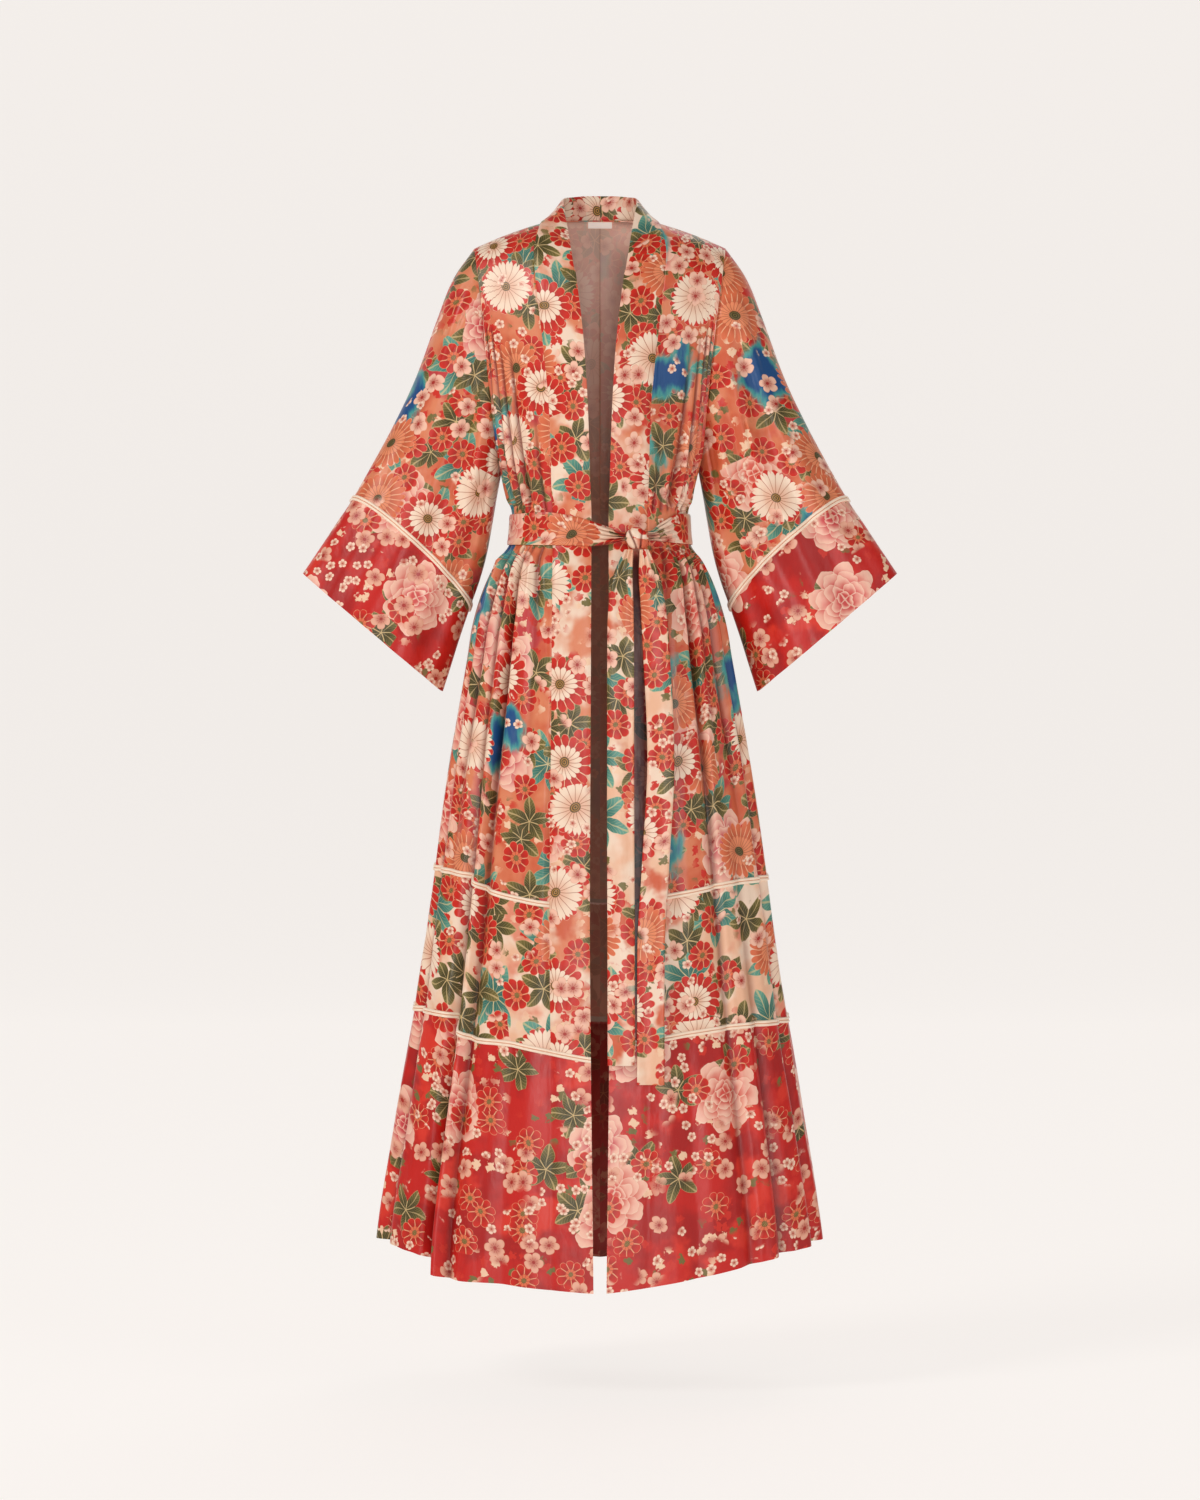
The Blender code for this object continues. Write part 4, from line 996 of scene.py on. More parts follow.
def group_print():
    r, given, finish = new_group(
        "flower print",
        {"Cloth": "place", "Ground": "colour", "Second ground": "colour", "Third ground": "colour",
         "Blossom dye": "colour", **{name.capitalize(): 0.5 for name in LAYERS}},
        {"Colour": "colour"},
    )
    cloth = given["Cloth"]

    def stretched(along, scale, detail):
        """A noise whose spots are long up the cloth."""
        return r.noise(r.vector("MULTIPLY", cloth, (1.0, along, 0.0)), scale, detail)

    def in_patches(shift, scale, detail, low, high):
        """A mask of large patches, for a layer that covers only parts of the cloth."""
        return r.soft_step(r.noise(r.vector("ADD", cloth, (*shift, 0.0)), scale, detail), low, high)

    def paint(colour, layer, only=1.0, **changing):
        """Prints a layer's motif over what is there, in each cell that holds one."""
        cell = cells[layer]
        motif, fixed = PRINTED_MOTIFS[layer]
        made = r.use(motif, radius=cell["Radius"], turn=cell["Turn"], **fixed, **changing)
        mask = r.times(r.times(made["Mask"], cell["Present"]), only)
        return r.mix(mask, colour, made["Colour"])

    drift = r.vector("SUBTRACT", r.noise(cloth, 26.0, 1.0, "Color"), (0.5, 0.5, 0.5))
    hand = r.vector("ADD", cloth, r.vector("MULTIPLY", drift, (HAND_WOBBLE, HAND_WOBBLE, 0.0)))
    cells = {
        name: r.use("flower places", cloth=hand, shift=shift, spacing=spacing, scatter=scatter,
                    share=given[name.capitalize()])
        for name, (spacing, scatter, shift) in LAYERS.items()
    }
    mottled = r.soft_step(r.noise(cloth, 16.0, 3.0), 0.40, 0.62)
    colour = r.mix(mottled, given["Ground"], given["Second ground"])
    colour = r.mix(in_patches((9.0, 4.0), 11.0, 4.0, 0.55, 0.66), colour, given["Third ground"])

    dabs = cells["dabs"]
    ragged = r.plus(dabs["Radius"], r.swing(r.noise(cloth, 190.0, 2.0), 0.013))
    warm = r.mix(r.math("GREATER_THAN", dabs["Chance"], 0.40), dye("D63A26"), dye("F4D0B2"))
    dab = r.mix(r.math("GREATER_THAN", dabs["Chance"], 0.72), warm, dye("877A45"))
    strewn = r.times(dabs["Present"], in_patches((1.0, 6.0), 14.0, 2.0, 0.42, 0.56))
    colour = r.mix(r.times(r.soft_step(ragged, 0.0062, 0.0046), strewn), colour, dab)

    colour = paint(colour, "teal")
    colour = paint(colour, "olive")
    deep = r.mix(cells["peonies"]["Chance"], dye("D24A5A"), dye("DC6450"))
    colour = paint(colour, "peonies", cloth=cloth, deep_dye=deep)
    colour = paint(colour, "red")

    blots = cells["blots"]
    ragged = r.plus(blots["Radius"], r.swing(stretched(0.6, 24.0, 1.0), 0.10))
    ragged = r.plus(ragged, r.swing(stretched(0.35, 160.0, 3.0), 0.022))
    blue = r.mix(r.soft_step(ragged, 0.032, 0.012), dye("57ABA4"), dye("1F5C92"))
    colour = r.mix(r.times(r.soft_step(ragged, 0.044, 0.026), blots["Present"]), colour, blue)

    colour = paint(colour, "plain")
    broad = r.times(r.math("GREATER_THAN", cells["ringed"]["Chance"], 0.55), 0.33)
    colour = paint(colour, "ringed", inner=r.plus(0.62, broad))
    colour = paint(colour, "blossoms", in_patches((3.0, 8.0), 9.0, 1.0, 0.46, 0.50), dye=given["Blossom dye"])
    colour = paint(colour, "sprays", in_patches((5.0, 2.0), 12.0, 1.0, 0.53, 0.56))
    finish(Colour=colour)


group_print()
print("groups so far:", len(bpy.data.node_groups))

# %% [markdown]
# Satin has long floating threads, so it shines in soft streaks along them, and it never lies quite
# flat: it carries fine crinkles. One group gives the height of both for a Bump node and a slight
# change of gloss. It works on the same flat pattern in metres.

# %% Group: the satin surface
CRINKLE_DEEP = 0.0024
THREAD_DEEP = 0.00006
SMOOTHEST = 0.31
DULLER_IN_CRINKLES = 0.16


def group_satin():
    r, given, finish = new_group(
        "satin surface",
        {"Cloth": "place", "Crinkle": 1.0},
        {"Height": "number", "Roughness": "number"},
    )
    crinkles = r.noise(r.vector("MULTIPLY", given["Cloth"], (1.0, 0.45, 0.0)), 42.0, 3.0)
    threads = r.noise(r.vector("MULTIPLY", given["Cloth"], (1.0, 0.12, 0.0)), 1500.0, 1.0)
    deep = r.times(r.times(crinkles, given["Crinkle"]), CRINKLE_DEEP)
    height = r.plus(deep, r.times(threads, THREAD_DEEP))
    dull = r.times(crinkles, DULLER_IN_CRINKLES)
    finish(Height=height, Roughness=r.plus(SMOOTHEST, dull))


group_satin()
print("crinkles", CRINKLE_DEEP * 1000, "mm deep at most")

# %% [markdown]
# Five cloths share the one print. Each sets its own ground dyes and how much of every layer it wants:
# the body is coral, the middle tier cream, the border red. The band and the belt are printed on cream
# with large flowers, because they lie on the body and should stand out from it.

# %% The five printed cloths
CORAL, PEACH, ROSE = dye("D8714E"), dye("E3936E"), dye("CE4F50")
CREAM, PALE_PEACH, SALMON = dye("F5DDC9"), dye("F0C2A4"), dye("E79A80")
RED, DEEP_RED, BRIGHT_RED = dye("D0281B"), dye("B81F18"), dye("E04430")
PINK_CREAM, PINK = dye("F5C9B3"), dye("EDB8A0")
GROUNDS = {
    # ground, second and third ground, blossoms
    "main_print": (CORAL, PEACH, ROSE, PINK_CREAM),
    "middle_print": (CREAM, PALE_PEACH, SALMON, PINK_CREAM),
    "border_print": (RED, DEEP_RED, BRIGHT_RED, PINK),
    "band_print": (CREAM, PEACH, CORAL, PINK_CREAM),
    "belt_print": (CREAM, PALE_PEACH, CORAL, PINK_CREAM),
}
SHARES = {
    # blots, teal, olive, peonies, red, plain, ringed, blossoms, sprays, dabs
    "main_print": (0.62, 0.60, 0.75, 0.42, 0.70, 0.35, 0.42, 0.55, 0.35, 0.75),
    "middle_print": (0.0, 0.95, 0.85, 0.10, 0.45, 0.55, 0.60, 0.40, 0.20, 0.30),
    "border_print": (0.0, 0.0, 0.28, 0.46, 0.30, 0.0, 0.0, 0.64, 0.60, 0.35),
    "band_print": (0.05, 0.55, 0.75, 0.10, 0.60, 0.30, 0.80, 0.60, 0.30, 0.60),
    "belt_print": (0.0, 0.35, 0.50, 0.20, 0.60, 0.40, 0.45, 0.60, 0.40, 0.60),
}


def print_values(cloth):
    """The inputs of the print group for one of the cloths."""
    dyes = zip(("ground", "second_ground", "third_ground", "blossom_dye"), GROUNDS[cloth])
    return dict(dyes) | dict(zip(LAYERS, SHARES[cloth]))


print("cloths:", ", ".join(SHARES))

# %% [markdown]
# The right side is the print under a satin gloss. Dye pools in the cloth, so a Gamma node deepens it,
# and sharp folds keep the light out, so their valleys get painted shade, darker and redder. The wrong
# side is the same print seen through the back of the cloth, pale and dull. Inside the robe painted
# shade makes it dimmer from the neck down, and two seams show on it: a dark one down the centre back
# and a pale one under each tier.

# %% Satin, right side and wrong side
WRONG_SIDES = {
    "main_wrong_side": ("main_print", dye("FFDCCB")),
    "middle_wrong_side": ("middle_print", dye("E4BCAC")),
    "border_wrong_side": ("border_print", dye("8E2E24")),
}
DYE_DEPTH = 1.22
VALLEY_SHADE = 0.80
DEEPEST_SHADE = 0.90
WRONG_SIDE_SHOWN = 0.74
INSIDE_SHADE = 0.78
SATIN_BUMP = 0.55
SHEEN_ROUGHNESS = 0.4
SPECULAR = {"right": 0.45, "wrong": 0.20}
SHEEN = {"right": 0.06, "wrong": 0.03}


def start_cloth(name, crinkle, bump_strength):
    """A material with the satin surface on it; returns its recipe, shader, flat pattern and gloss."""
    made = bpy.data.materials.new(name)
    made.use_nodes = True
    MATERIALS[name] = made
    r = Recipe(made.node_tree)
    shader = made.node_tree.nodes["Principled BSDF"]
    cloth = r.node("ShaderNodeUVMap", uv_map="cloth").outputs["UV"]
    satin = r.use("satin surface", cloth=cloth, crinkle=crinkle)
    bump = r.node("ShaderNodeBump")
    bump.inputs["Strength"].default_value = bump_strength
    bump.inputs["Distance"].default_value = 1.0
    r.feed(bump.inputs["Height"], satin["Height"])
    r.feed(shader.inputs["Normal"], bump.outputs["Normal"])
    return r, shader, cloth, satin["Roughness"]


def satin_material(name, choice, seen_through=None):
    r, shader, cloth, gloss = start_cloth(name, 1.0, SATIN_BUMP)
    soaked = r.node("ShaderNodeGamma")
    r.feed(soaked.inputs["Color"], r.use("flower print", cloth=cloth, **print_values(choice))["Colour"])
    soaked.inputs["Gamma"].default_value = DYE_DEPTH
    colour = soaked.outputs["Color"]
    valley = r.node("ShaderNodeAttribute", attribute_name="valley").outputs["Fac"]
    shade_and_seam = r.soft_step(valley, 0.0, 1.0)
    if seen_through:
        colour = r.mix(WRONG_SIDE_SHOWN, colour, seen_through)
        # Painted shade inside the robe, dimmer from the neck down; the same mask carries the dark centre-back
        # seam
        colour = r.mix(r.times(shade_and_seam, INSIDE_SHADE), colour, dye("BC896C"), "MULTIPLY")
        colour = r.mix(r.soft_step(valley, 0.0, -1.0), colour, dye("A88A78"))
    else:
        # Painted shade, darker and redder, in the valleys of folds and creases, deepest in the knot's grooves
        # and between the belt's hanging ends
        colour = r.mix(r.times(shade_and_seam, VALLEY_SHADE), colour, dye("8A4632"), "MULTIPLY")
        deepest = r.times(r.soft_step(valley, 1.0, 2.0), DEEPEST_SHADE)
        colour = r.mix(deepest, colour, dye("7A2A1C"), "MULTIPLY")
    r.feed(shader.inputs["Base Color"], colour)
    r.feed(shader.inputs["Roughness"], gloss)
    face = "wrong" if seen_through else "right"
    shader.inputs["Specular IOR Level"].default_value = SPECULAR[face]
    shader.inputs["Sheen Weight"].default_value = SHEEN[face]
    shader.inputs["Sheen Roughness"].default_value = SHEEN_ROUGHNESS


for name in SHARES:
    satin_material(name, name)
for name, (choice, tone) in WRONG_SIDES.items():
    satin_material(name, choice, tone)
print("satins:", ", ".join(MATERIALS))

# %% [markdown]
# The piping is one cream cloth with a peach line where its two cords meet. The small label is a white
# one, and a faint emission paints light on it, so that it stays bright inside the neck.

# %% Piping and label cloth
PLAIN_BUMP = 0.4
PLAIN_MOTTLE = 0.25


def plain_material(name, main, line, line_width, roughness, painted_glow=0.0):
    """A one-coloured cloth with one line of another colour along the middle of its flat pattern."""
    r, shader, cloth, _ = start_cloth(name, 0.3, PLAIN_BUMP)
    parts = r.node("ShaderNodeSeparateXYZ")
    r.feed(parts.inputs[0], cloth)
    off = r.math("ABSOLUTE", parts.outputs["Y"])
    colour = r.mix(r.soft_step(off, line_width, line_width * 0.3), main, line)
    colour = r.mix(r.times(r.noise(cloth, 60.0, 2.0), PLAIN_MOTTLE), colour, line)
    r.feed(shader.inputs["Base Color"], colour)
    shader.inputs["Roughness"].default_value = roughness
    # Painted light: an emission in the cloth's own colour makes it brighter than the lamps light it
    shader.inputs["Emission Color"].default_value = main
    shader.inputs["Emission Strength"].default_value = painted_glow


plain_material("piping", dye("FBE6CF"), dye("E8AE8C"), 0.0008, 0.40)
# The label's faint emission is painted light
plain_material("label", dye("FFF4EA"), dye("DDBFA8"), 0.0, 0.60, painted_glow=0.30)
print("materials:", len(MATERIALS))

# %% [markdown]
# A piece of cloth here is a grid of points with rows up the robe and columns across it. The same grid
# gives the flat pattern: the lengths along its rows and columns, in metres, so that the print keeps
# its size wherever the cloth bends. It also gives the size that the piece was cut to.

# %% Lengths on a grid
def lengths_along(points, axis):
    """How far each point lies along its row or column, measured on the cloth."""
    steps = np.linalg.norm(np.diff(points, axis=axis), axis=-1)
    start = np.zeros_like(np.take(steps, [0], axis=axis))
    return np.concatenate([start, np.cumsum(steps, axis=axis)], axis=axis)


def flat_size(points):
    """The width, length and area of a grid when it is spread flat."""
    to_next_row = points[1:, :-1] - points[:-1, :-1]
    to_next_column = points[:-1, 1:] - points[:-1, :-1]
    area = np.linalg.norm(np.cross(to_next_row, to_next_column), axis=-1).sum()
    across = lengths_along(points, 1)[:, -1].max()
    down = lengths_along(points, 0)[-1].max()
    return float(across), float(down), float(area)


square = np.stack([*np.meshgrid(np.arange(3.0), np.arange(3.0)), np.zeros((3, 3))], axis=-1)
print("a flat square of 2 m measures", flat_size(square))

# %% [markdown]
# Light hardly reaches the bottom of a sharp fold. Every point gets a number that says how strongly
# the cloth is bent inwards there, and the satin material darkens the dye by it.

# %% Where the valleys are
VALLEY_SCALE = 0.0075
VALLEY_REACH = 5
VALLEY_BLUR = (0.12, 0.24, 0.28, 0.24, 0.12)
BLUR_REACH = len(VALLEY_BLUR) // 2


def valleys(outer, inner, closed):
    """How strongly the cloth is bent inwards at each point of a grid, across its columns."""
    out = unit(outer - inner)
    pad = ((0, 0), (VALLEY_REACH, VALLEY_REACH), (0, 0))
    wide = np.pad(outer, pad, mode="wrap" if closed else "edge")
    before, after = wide[:, : -2 * VALLEY_REACH], wide[:, 2 * VALLEY_REACH :]
    spread = np.maximum(np.linalg.norm(after - before, axis=-1) / 2, 1e-4)
    bend = 2 * np.sum(((before + after) / 2 - outer) * out, axis=-1) / spread**2
    if not closed:
        bend[:, :VALLEY_REACH] = bend[:, -VALLEY_REACH:] = 0
    shade = ramp(bend * VALLEY_SCALE)
    wide = np.pad(shade, ((0, 0), (BLUR_REACH, BLUR_REACH)), mode="wrap" if closed else "edge")
    return sum(weight * wide[:, k : k + shade.shape[1]] for k, weight in enumerate(VALLEY_BLUR))


print("valleys are looked for over", 2 * VALLEY_REACH, "columns")

# %% [markdown]
# Every grid gets an outer and an inner layer joined round the rims, so the cloth has a true thickness
# and two sides, with a material for each. The flat pattern becomes the UV map "cloth". The attribute
# "valley" holds painted shade: for the valleys on the right side, and for the dim inside with its seam
# lines on the wrong side. Each piece stands for one solid of the frame and rides on its body.

# %% From a grid of points to a piece of cloth
CLOTH = 0.0016
BAND_CLOTH = 0.0024
SHARP_EDGE = math.radians(60)
SEAM_JUMP = (0.83, 0.47)
FLAT_SIZES = {}


def wall_faces(outer, inner, flat, closed, seam):
    """The faces of a wall of two layers, their corners on the flat pattern, and how many are outer."""
    rows, columns = outer.shape[:2]
    half = rows * columns
    spans = columns if closed else columns - 1
    r, c = np.meshgrid(np.arange(rows - 1), np.arange(spans), indexing="ij")
    n = (c + 1) % columns
    here, above = r * columns, (r + 1) * columns
    quads = np.stack([here + c, here + n, above + n, above + c], -1)
    corners = np.stack([flat[r, c], flat[r, c + 1], flat[r + 1, c + 1], flat[r + 1, c]], axis=-2)
    if seam is not None:
        corners[:, seam:] += SEAM_JUMP
    quads, corners = quads.reshape(-1, 4), corners.reshape(-1, 4, 2)
    first, across, up = (outer.reshape(-1, 3)[quads[:, k]] for k in (0, 1, 3))
    facing = np.cross(across - first, up - first)
    if np.sum(facing * (outer - inner).reshape(-1, 3)[quads[:, 0]]) < 0:
        quads, corners = quads[:, ::-1], corners[:, ::-1]
    faces = [quads, half + quads[:, ::-1]]
    maps = [corners, corners[:, ::-1]]
    order = np.arange(half).reshape(rows, columns)
    rims = [(order[0], flat[0]), (order[-1][::-1], flat[-1][::-1])]
    if not closed:
        rims += [(order[::-1, 0], flat[::-1, 0]), (order[:, -1], flat[:, -1])]
    for line, place in rims:
        if closed:
            line = np.append(line, line[0])
        rim = np.stack([line[:-1], half + line[:-1], half + line[1:], line[1:]], axis=-1)
        faces.append(rim)
        maps.append(np.stack([place[:-1], place[:-1], place[1:], place[1:]], axis=-2)[: len(rim)])
    return np.concatenate(faces), np.concatenate(maps), len(quads)


def cloth_piece(node, outer, inner, flat, right, wrong=None, closed=False, seam=None, shade=None,
                inside=None):
    """Joins two grids into one piece of cloth that stands for a node of the frame."""
    faces, corners, each_layer = wall_faces(outer, inner, flat, closed, seam)
    mesh = bpy.data.meshes.new(node)
    points = np.concatenate([outer.reshape(-1, 3), inner.reshape(-1, 3)]) - (0, 0, SHOULDER_HEIGHT)
    mesh.from_pydata(points.tolist(), [], faces.tolist())
    layer = mesh.uv_layers.new(name="cloth")
    layer.data.foreach_set("uv", corners.astype(np.float32).ravel())
    shade = valleys(outer, inner, closed) if shade is None else np.broadcast_to(shade, outer.shape[:2])
    if inside is None:
        inside = np.zeros(shade.shape) if wrong else shade
    depth = np.concatenate([shade.ravel(), inside.ravel()]).astype(np.float32)
    mesh.attributes.new("valley", "FLOAT", "POINT").data.foreach_set("value", depth)
    mesh.materials.append(MATERIALS[right])
    mesh.materials.append(MATERIALS[wrong or right])
    sides = np.zeros(len(faces), dtype=np.int32)
    sides[each_layer : 2 * each_layer] = 1
    mesh.polygons.foreach_set("material_index", sides)
    mesh.shade_smooth()
    mesh.set_sharp_from_angle(angle=SHARP_EDGE)
    made = add_object(node, mesh)
    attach(made, "root")
    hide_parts(node)
    FLAT_SIZES[node] = flat_size(outer)


print("cloth", CLOTH * 1000, "mm thick, band", BAND_CLOTH * 1000, "mm")

# %% [markdown]
# Satin doesn't fall in even waves: its ridges are round and its valleys are sharp. The main folds
# come from the tables. A place on the cloth is counted in fold lines, such as 2.5 between 2 and 3.

# %% Folds of the body
VALLEY = 0.45


def line_angles(panel, side_name, height):
    """The angles of a panel's edge, its seam, its fold lines and the side seam, at these heights."""
    lines, _ = fold_lines(panel, side_name, height)
    width = half_width(height)
    if panel == "front":
        gap = ring_angle(OPENING.read("half_gap", height) / width)
        seam = ring_angle(OPENING.read("seam", height) / width)
        first = [gap[..., None], seam[..., None]]
    else:
        first = [np.zeros(height.shape + (1,))]
    return np.concatenate([*first, lines, np.full(height.shape + (1,), 90.0)], axis=-1)


def placed_angle(panel, side_name, place, height):
    """The angle of a place that is counted in fold lines, such as 2.5 between lines 2 and 3."""
    lines = line_angles(panel, side_name, height)
    low = np.clip(np.floor(place).astype(int), 0, lines.shape[-1] - 2)
    low = np.broadcast_to(low, height.shape)[..., None]
    before = np.take_along_axis(lines, low, -1)[..., 0]
    after = np.take_along_axis(lines, low + 1, -1)[..., 0]
    return before + (after - before) * (place - low[..., 0])


def fold_depth(panel, side_name, angle, height):
    """How far the folds push the cloth out: round on the ridges, sharp in the valleys."""
    lines, sizes = fold_lines(panel, side_name, height)
    edge = ring_angle(OPENING.read("seam", height) / half_width(height)) if panel == "front" else 0
    first = (np.zeros(angle.shape) + edge)[..., None]
    lines = np.concatenate([first, lines, np.full(first.shape, 90.0)], axis=-1)
    sizes = np.concatenate([first * 0, sizes, first * 0], axis=-1)
    pushed = np.zeros(angle.shape)
    for k in range(lines.shape[-1] - 1):
        low = lines[..., k]
        part = ramp((angle - low) / np.maximum(lines[..., k + 1] - low, 1e-6))
        even = 0.5 - 0.5 * np.cos(np.pi * part)
        from_valley = np.sin(np.pi / 2 * part)
        to_valley = 1 - np.cos(np.pi / 2 * part)
        steep = np.where(sizes[..., k] < sizes[..., k + 1], from_valley, to_valley)
        wave = even * (1 - VALLEY) + steep * VALLEY
        inside = (angle >= low) & (angle <= lines[..., k + 1])
        pushed = np.where(inside, sizes[..., k] * (1 - wave) + sizes[..., k + 1] * wave, pushed)
    return pushed


at_belt = placed_angle("front", "left", np.array([2.5]), np.array([BELT_TOP]))
print("place 2.5 of a front lies at", round(float(at_belt[0]), 1), "degrees at the belt")

# %% [markdown]
# Where the belt squeezes the cloth there is more of it than room, so short extra creases fan out above
# and below. They are scattered from a fixed seed and fade at both ends.

# %% Creases of the body
CREASE_SEED = 5
CREASES_ABOVE = 8
CREASES_BELOW = 8
CREASE_PLACES = {"front": (1.3, 14.6), "back": (0.4, 13.6)}
CREASE_REACH = (0.06, 0.24)
CREASE_LEAN = (-3.0, 3.0)
CREASE_DEPTH = (0.0012, 0.0036)
CREASE_WIDTH = (0.35, 0.75)
CREASE_START = 0.25
CREASE_RIDGE = 1.3
BODY_WAVES = (0.17, 0.11, 0.07)
BODY_WAVE_DEPTH = 0.0009
WAVES_EACH = 3


def scattered_creases(panel, side_name):
    """Short creases above and below the belt: place, lean, start, reach, width and depth."""
    dice = random.Random(f"{CREASE_SEED} {panel} {side_name}")
    first, last = CREASE_PLACES[panel]
    creases = []
    for count, start, way in ((CREASES_ABOVE, BELT_TOP, 1), (CREASES_BELOW, BELT_BOTTOM, -1)):
        for k in range(count):
            place = first + (last - first) * (k + dice.uniform(0.1, 0.9)) / count
            reach = way * dice.uniform(*CREASE_REACH)
            lean = dice.uniform(*CREASE_LEAN)
            depth = dice.uniform(*CREASE_DEPTH)
            creases.append((place, lean, start, reach, dice.uniform(*CREASE_WIDTH), depth))
    return creases


def crease_depth(creases, place, height):
    """How far the short creases pull the cloth in; beside each valley stands a low ridge."""
    pulled = np.zeros(np.broadcast(place, height).shape)
    for at, lean, start, reach, width, depth in creases:
        along = (height - start) / reach
        fade = ramp(1 - along) * ramp((along + CREASE_START) / CREASE_START)
        off = (place - at - lean * (height - start)) / width
        pulled = pulled + depth * fade * (CREASE_RIDGE * off**2 - 1) * np.exp(-(off**2))
    return pulled


def soft_waves(flat, seed, lengths=BODY_WAVES, depth=BODY_WAVE_DEPTH):
    """Slow, uneven swellings of loose cloth, as a sum of a few leaning waves."""
    dice = random.Random(seed)
    total = np.zeros(flat.shape[:-1])
    for length in np.repeat(lengths, WAVES_EACH):
        turn = dice.uniform(-0.5, 0.5)
        phase = dice.uniform(0, 2 * math.pi)
        run = flat[..., 0] * math.cos(turn) + flat[..., 1] * math.sin(turn) * 0.5
        total += depth * length / lengths[0] * np.sin(2 * math.pi * run / length + phase)
    return total


print("short creases at the belt:", len(SIDES) * 2 * (CREASES_ABOVE + CREASES_BELOW))

# %% [markdown]
# Front and back are made as one tall grid for each quarter of the robe, and cut afterwards where the
# tier seams run. Pieces that meet at a seam then share their edge exactly, however the folds move it.
# The rows follow the seams, whose height changes round the robe, so each row is settled in rounds.

# %% Columns and rows of a quarter
COLUMNS_EACH = 8
SETTLING_ROUNDS = 6
BAND_COLUMNS = 12
HEM_PARTS = np.linspace(0, 1, 58)
MIDDLE_PARTS = np.linspace(0, 1, 38)
SKIRT_PARTS = np.linspace(0, 1, 82)
WAIST_PARTS = np.linspace(PRESSED_FROM, UNDERARM_HEIGHT, 24)
ARMHOLE_STEPS = 76
ARMHOLE_PARTS = 0.5 - 0.5 * np.cos(np.pi * np.arange(ARMHOLE_STEPS + 1) / ARMHOLE_STEPS)
LOWER_CUT = len(HEM_PARTS) - 1
UPPER_CUT = LOWER_CUT + len(MIDDLE_PARTS) - 1
BELT_ROW = UPPER_CUT + len(SKIRT_PARTS) - 1


def panel_places(panel):
    """Where the columns lie, counted in fold lines, closer together beside the seams."""
    lines = len(FRONT_FOLDS) + (3 if panel == "front" else 2)
    within = np.arange(COLUMNS_EACH) / COLUMNS_EACH
    places = [k + within for k in range(lines - 1)]
    if panel == "front":
        places[0] = np.arange(BAND_COLUMNS) / BAND_COLUMNS
    places.append(np.array([lines - 1.0]))
    places = np.concatenate(places)
    seam = 1.0 if panel == "front" else 0.0
    # One more column stands close to each seam, for the fine valley there
    return np.sort(np.concatenate([places, [seam + 0.05, lines - 1.06]]))


def row_heights(panel, side_name, place):
    """Height of every point of the grid: rows follow the tiers up to the belt and are level above it."""
    blocks = []
    for low, high, parts in (("hem", "lower", HEM_PARTS), ("lower", "upper", MIDDLE_PARTS[1:]),
                             ("upper", None, SKIRT_PARTS[1:])):
        height = np.full((len(parts), len(place)), 0.5)
        for _ in range(SETTLING_ROUNDS):
            angle = placed_angle(panel, side_name, place, height)
            bottom = tier_height(low, side_name, panel, angle)
            top = tier_height(high, side_name, panel, angle) if high else PRESSED_FROM
            height = bottom * (1 - parts[:, None]) + top * parts[:, None]
        blocks.append(height)
    lift = NECK_POINT_HEIGHT - UNDERARM_HEIGHT
    level = np.concatenate([WAIST_PARTS[1:], UNDERARM_HEIGHT + ARMHOLE_PARTS[1:] * lift])
    blocks.append(np.repeat(level[:, None], len(place), axis=1))
    return np.concatenate(blocks)


print("columns of a front and a back:", len(panel_places("front")), len(panel_places("back")))

# %% [markdown]
# The grid is laid over the draped robe. Slow swellings and the creases are added to it, but not under
# the belt and beside the seams. Round the neck the band's free edge stands up off the chest.

# %% The grid of a quarter of the robe
FOLDS_FADE = 0.05
WAVES_FADE = 0.03
CALM_PLACES = 0.5
EASING_STEPS = 9
EASING_REACH = 0.035
EASED_ABOVE_UNDERARM = 0.008
EASED_HEIGHT = 0.026
EASED_PLACES = 1.2
LEAVES_CHEST_FROM = 1.295


def eased_at_underarm(points, panel, side_name, place, angle, height):
    """Rounds the turn from the side of the body into the armhole, everywhere but on the rim."""
    moves = np.linspace(-EASING_REACH, EASING_REACH, EASING_STEPS)
    weights = np.cos(moves / EASING_REACH * math.pi / 2) + 0.05
    mean = sum(w * draped_points(panel, side_name, angle, height + move) for w, move in zip(weights, moves))
    mean = mean / weights.sum()
    share = np.exp(-(((height - UNDERARM_HEIGHT - EASED_ABOVE_UNDERARM) / EASED_HEIGHT) ** 2))
    share = share * ramp((place[-1] - place) / EASED_PLACES)
    eased = points * (1 - share[..., None]) + mean * share[..., None]
    eased[..., 2] = points[..., 2]
    return eased


def loose_moves(panel, side_name, place, height, flat):
    """Short creases and slow swellings, fading out at the belt, at the chest and at the seams."""
    from_seam = place - 1 if panel == "front" else place
    free = ramp((FOLDS_END - height) / FOLDS_FADE) * ramp(from_seam / CALM_PLACES)
    free = free * ramp((place[-1] - place) / CALM_PLACES)
    from_belt = np.minimum(np.abs(height - PRESSED_FROM), np.abs(height - PRESSED_TO))
    unpressed = np.where((height > PRESSED_FROM) & (height < PRESSED_TO), 0, 1)
    waves = soft_waves(flat, f"{panel} {side_name}") * free
    waves = waves * unpressed * ramp(from_belt / WAVES_FADE)
    creases = crease_depth(scattered_creases(panel, side_name), place, height)
    return waves + creases * free * unpressed


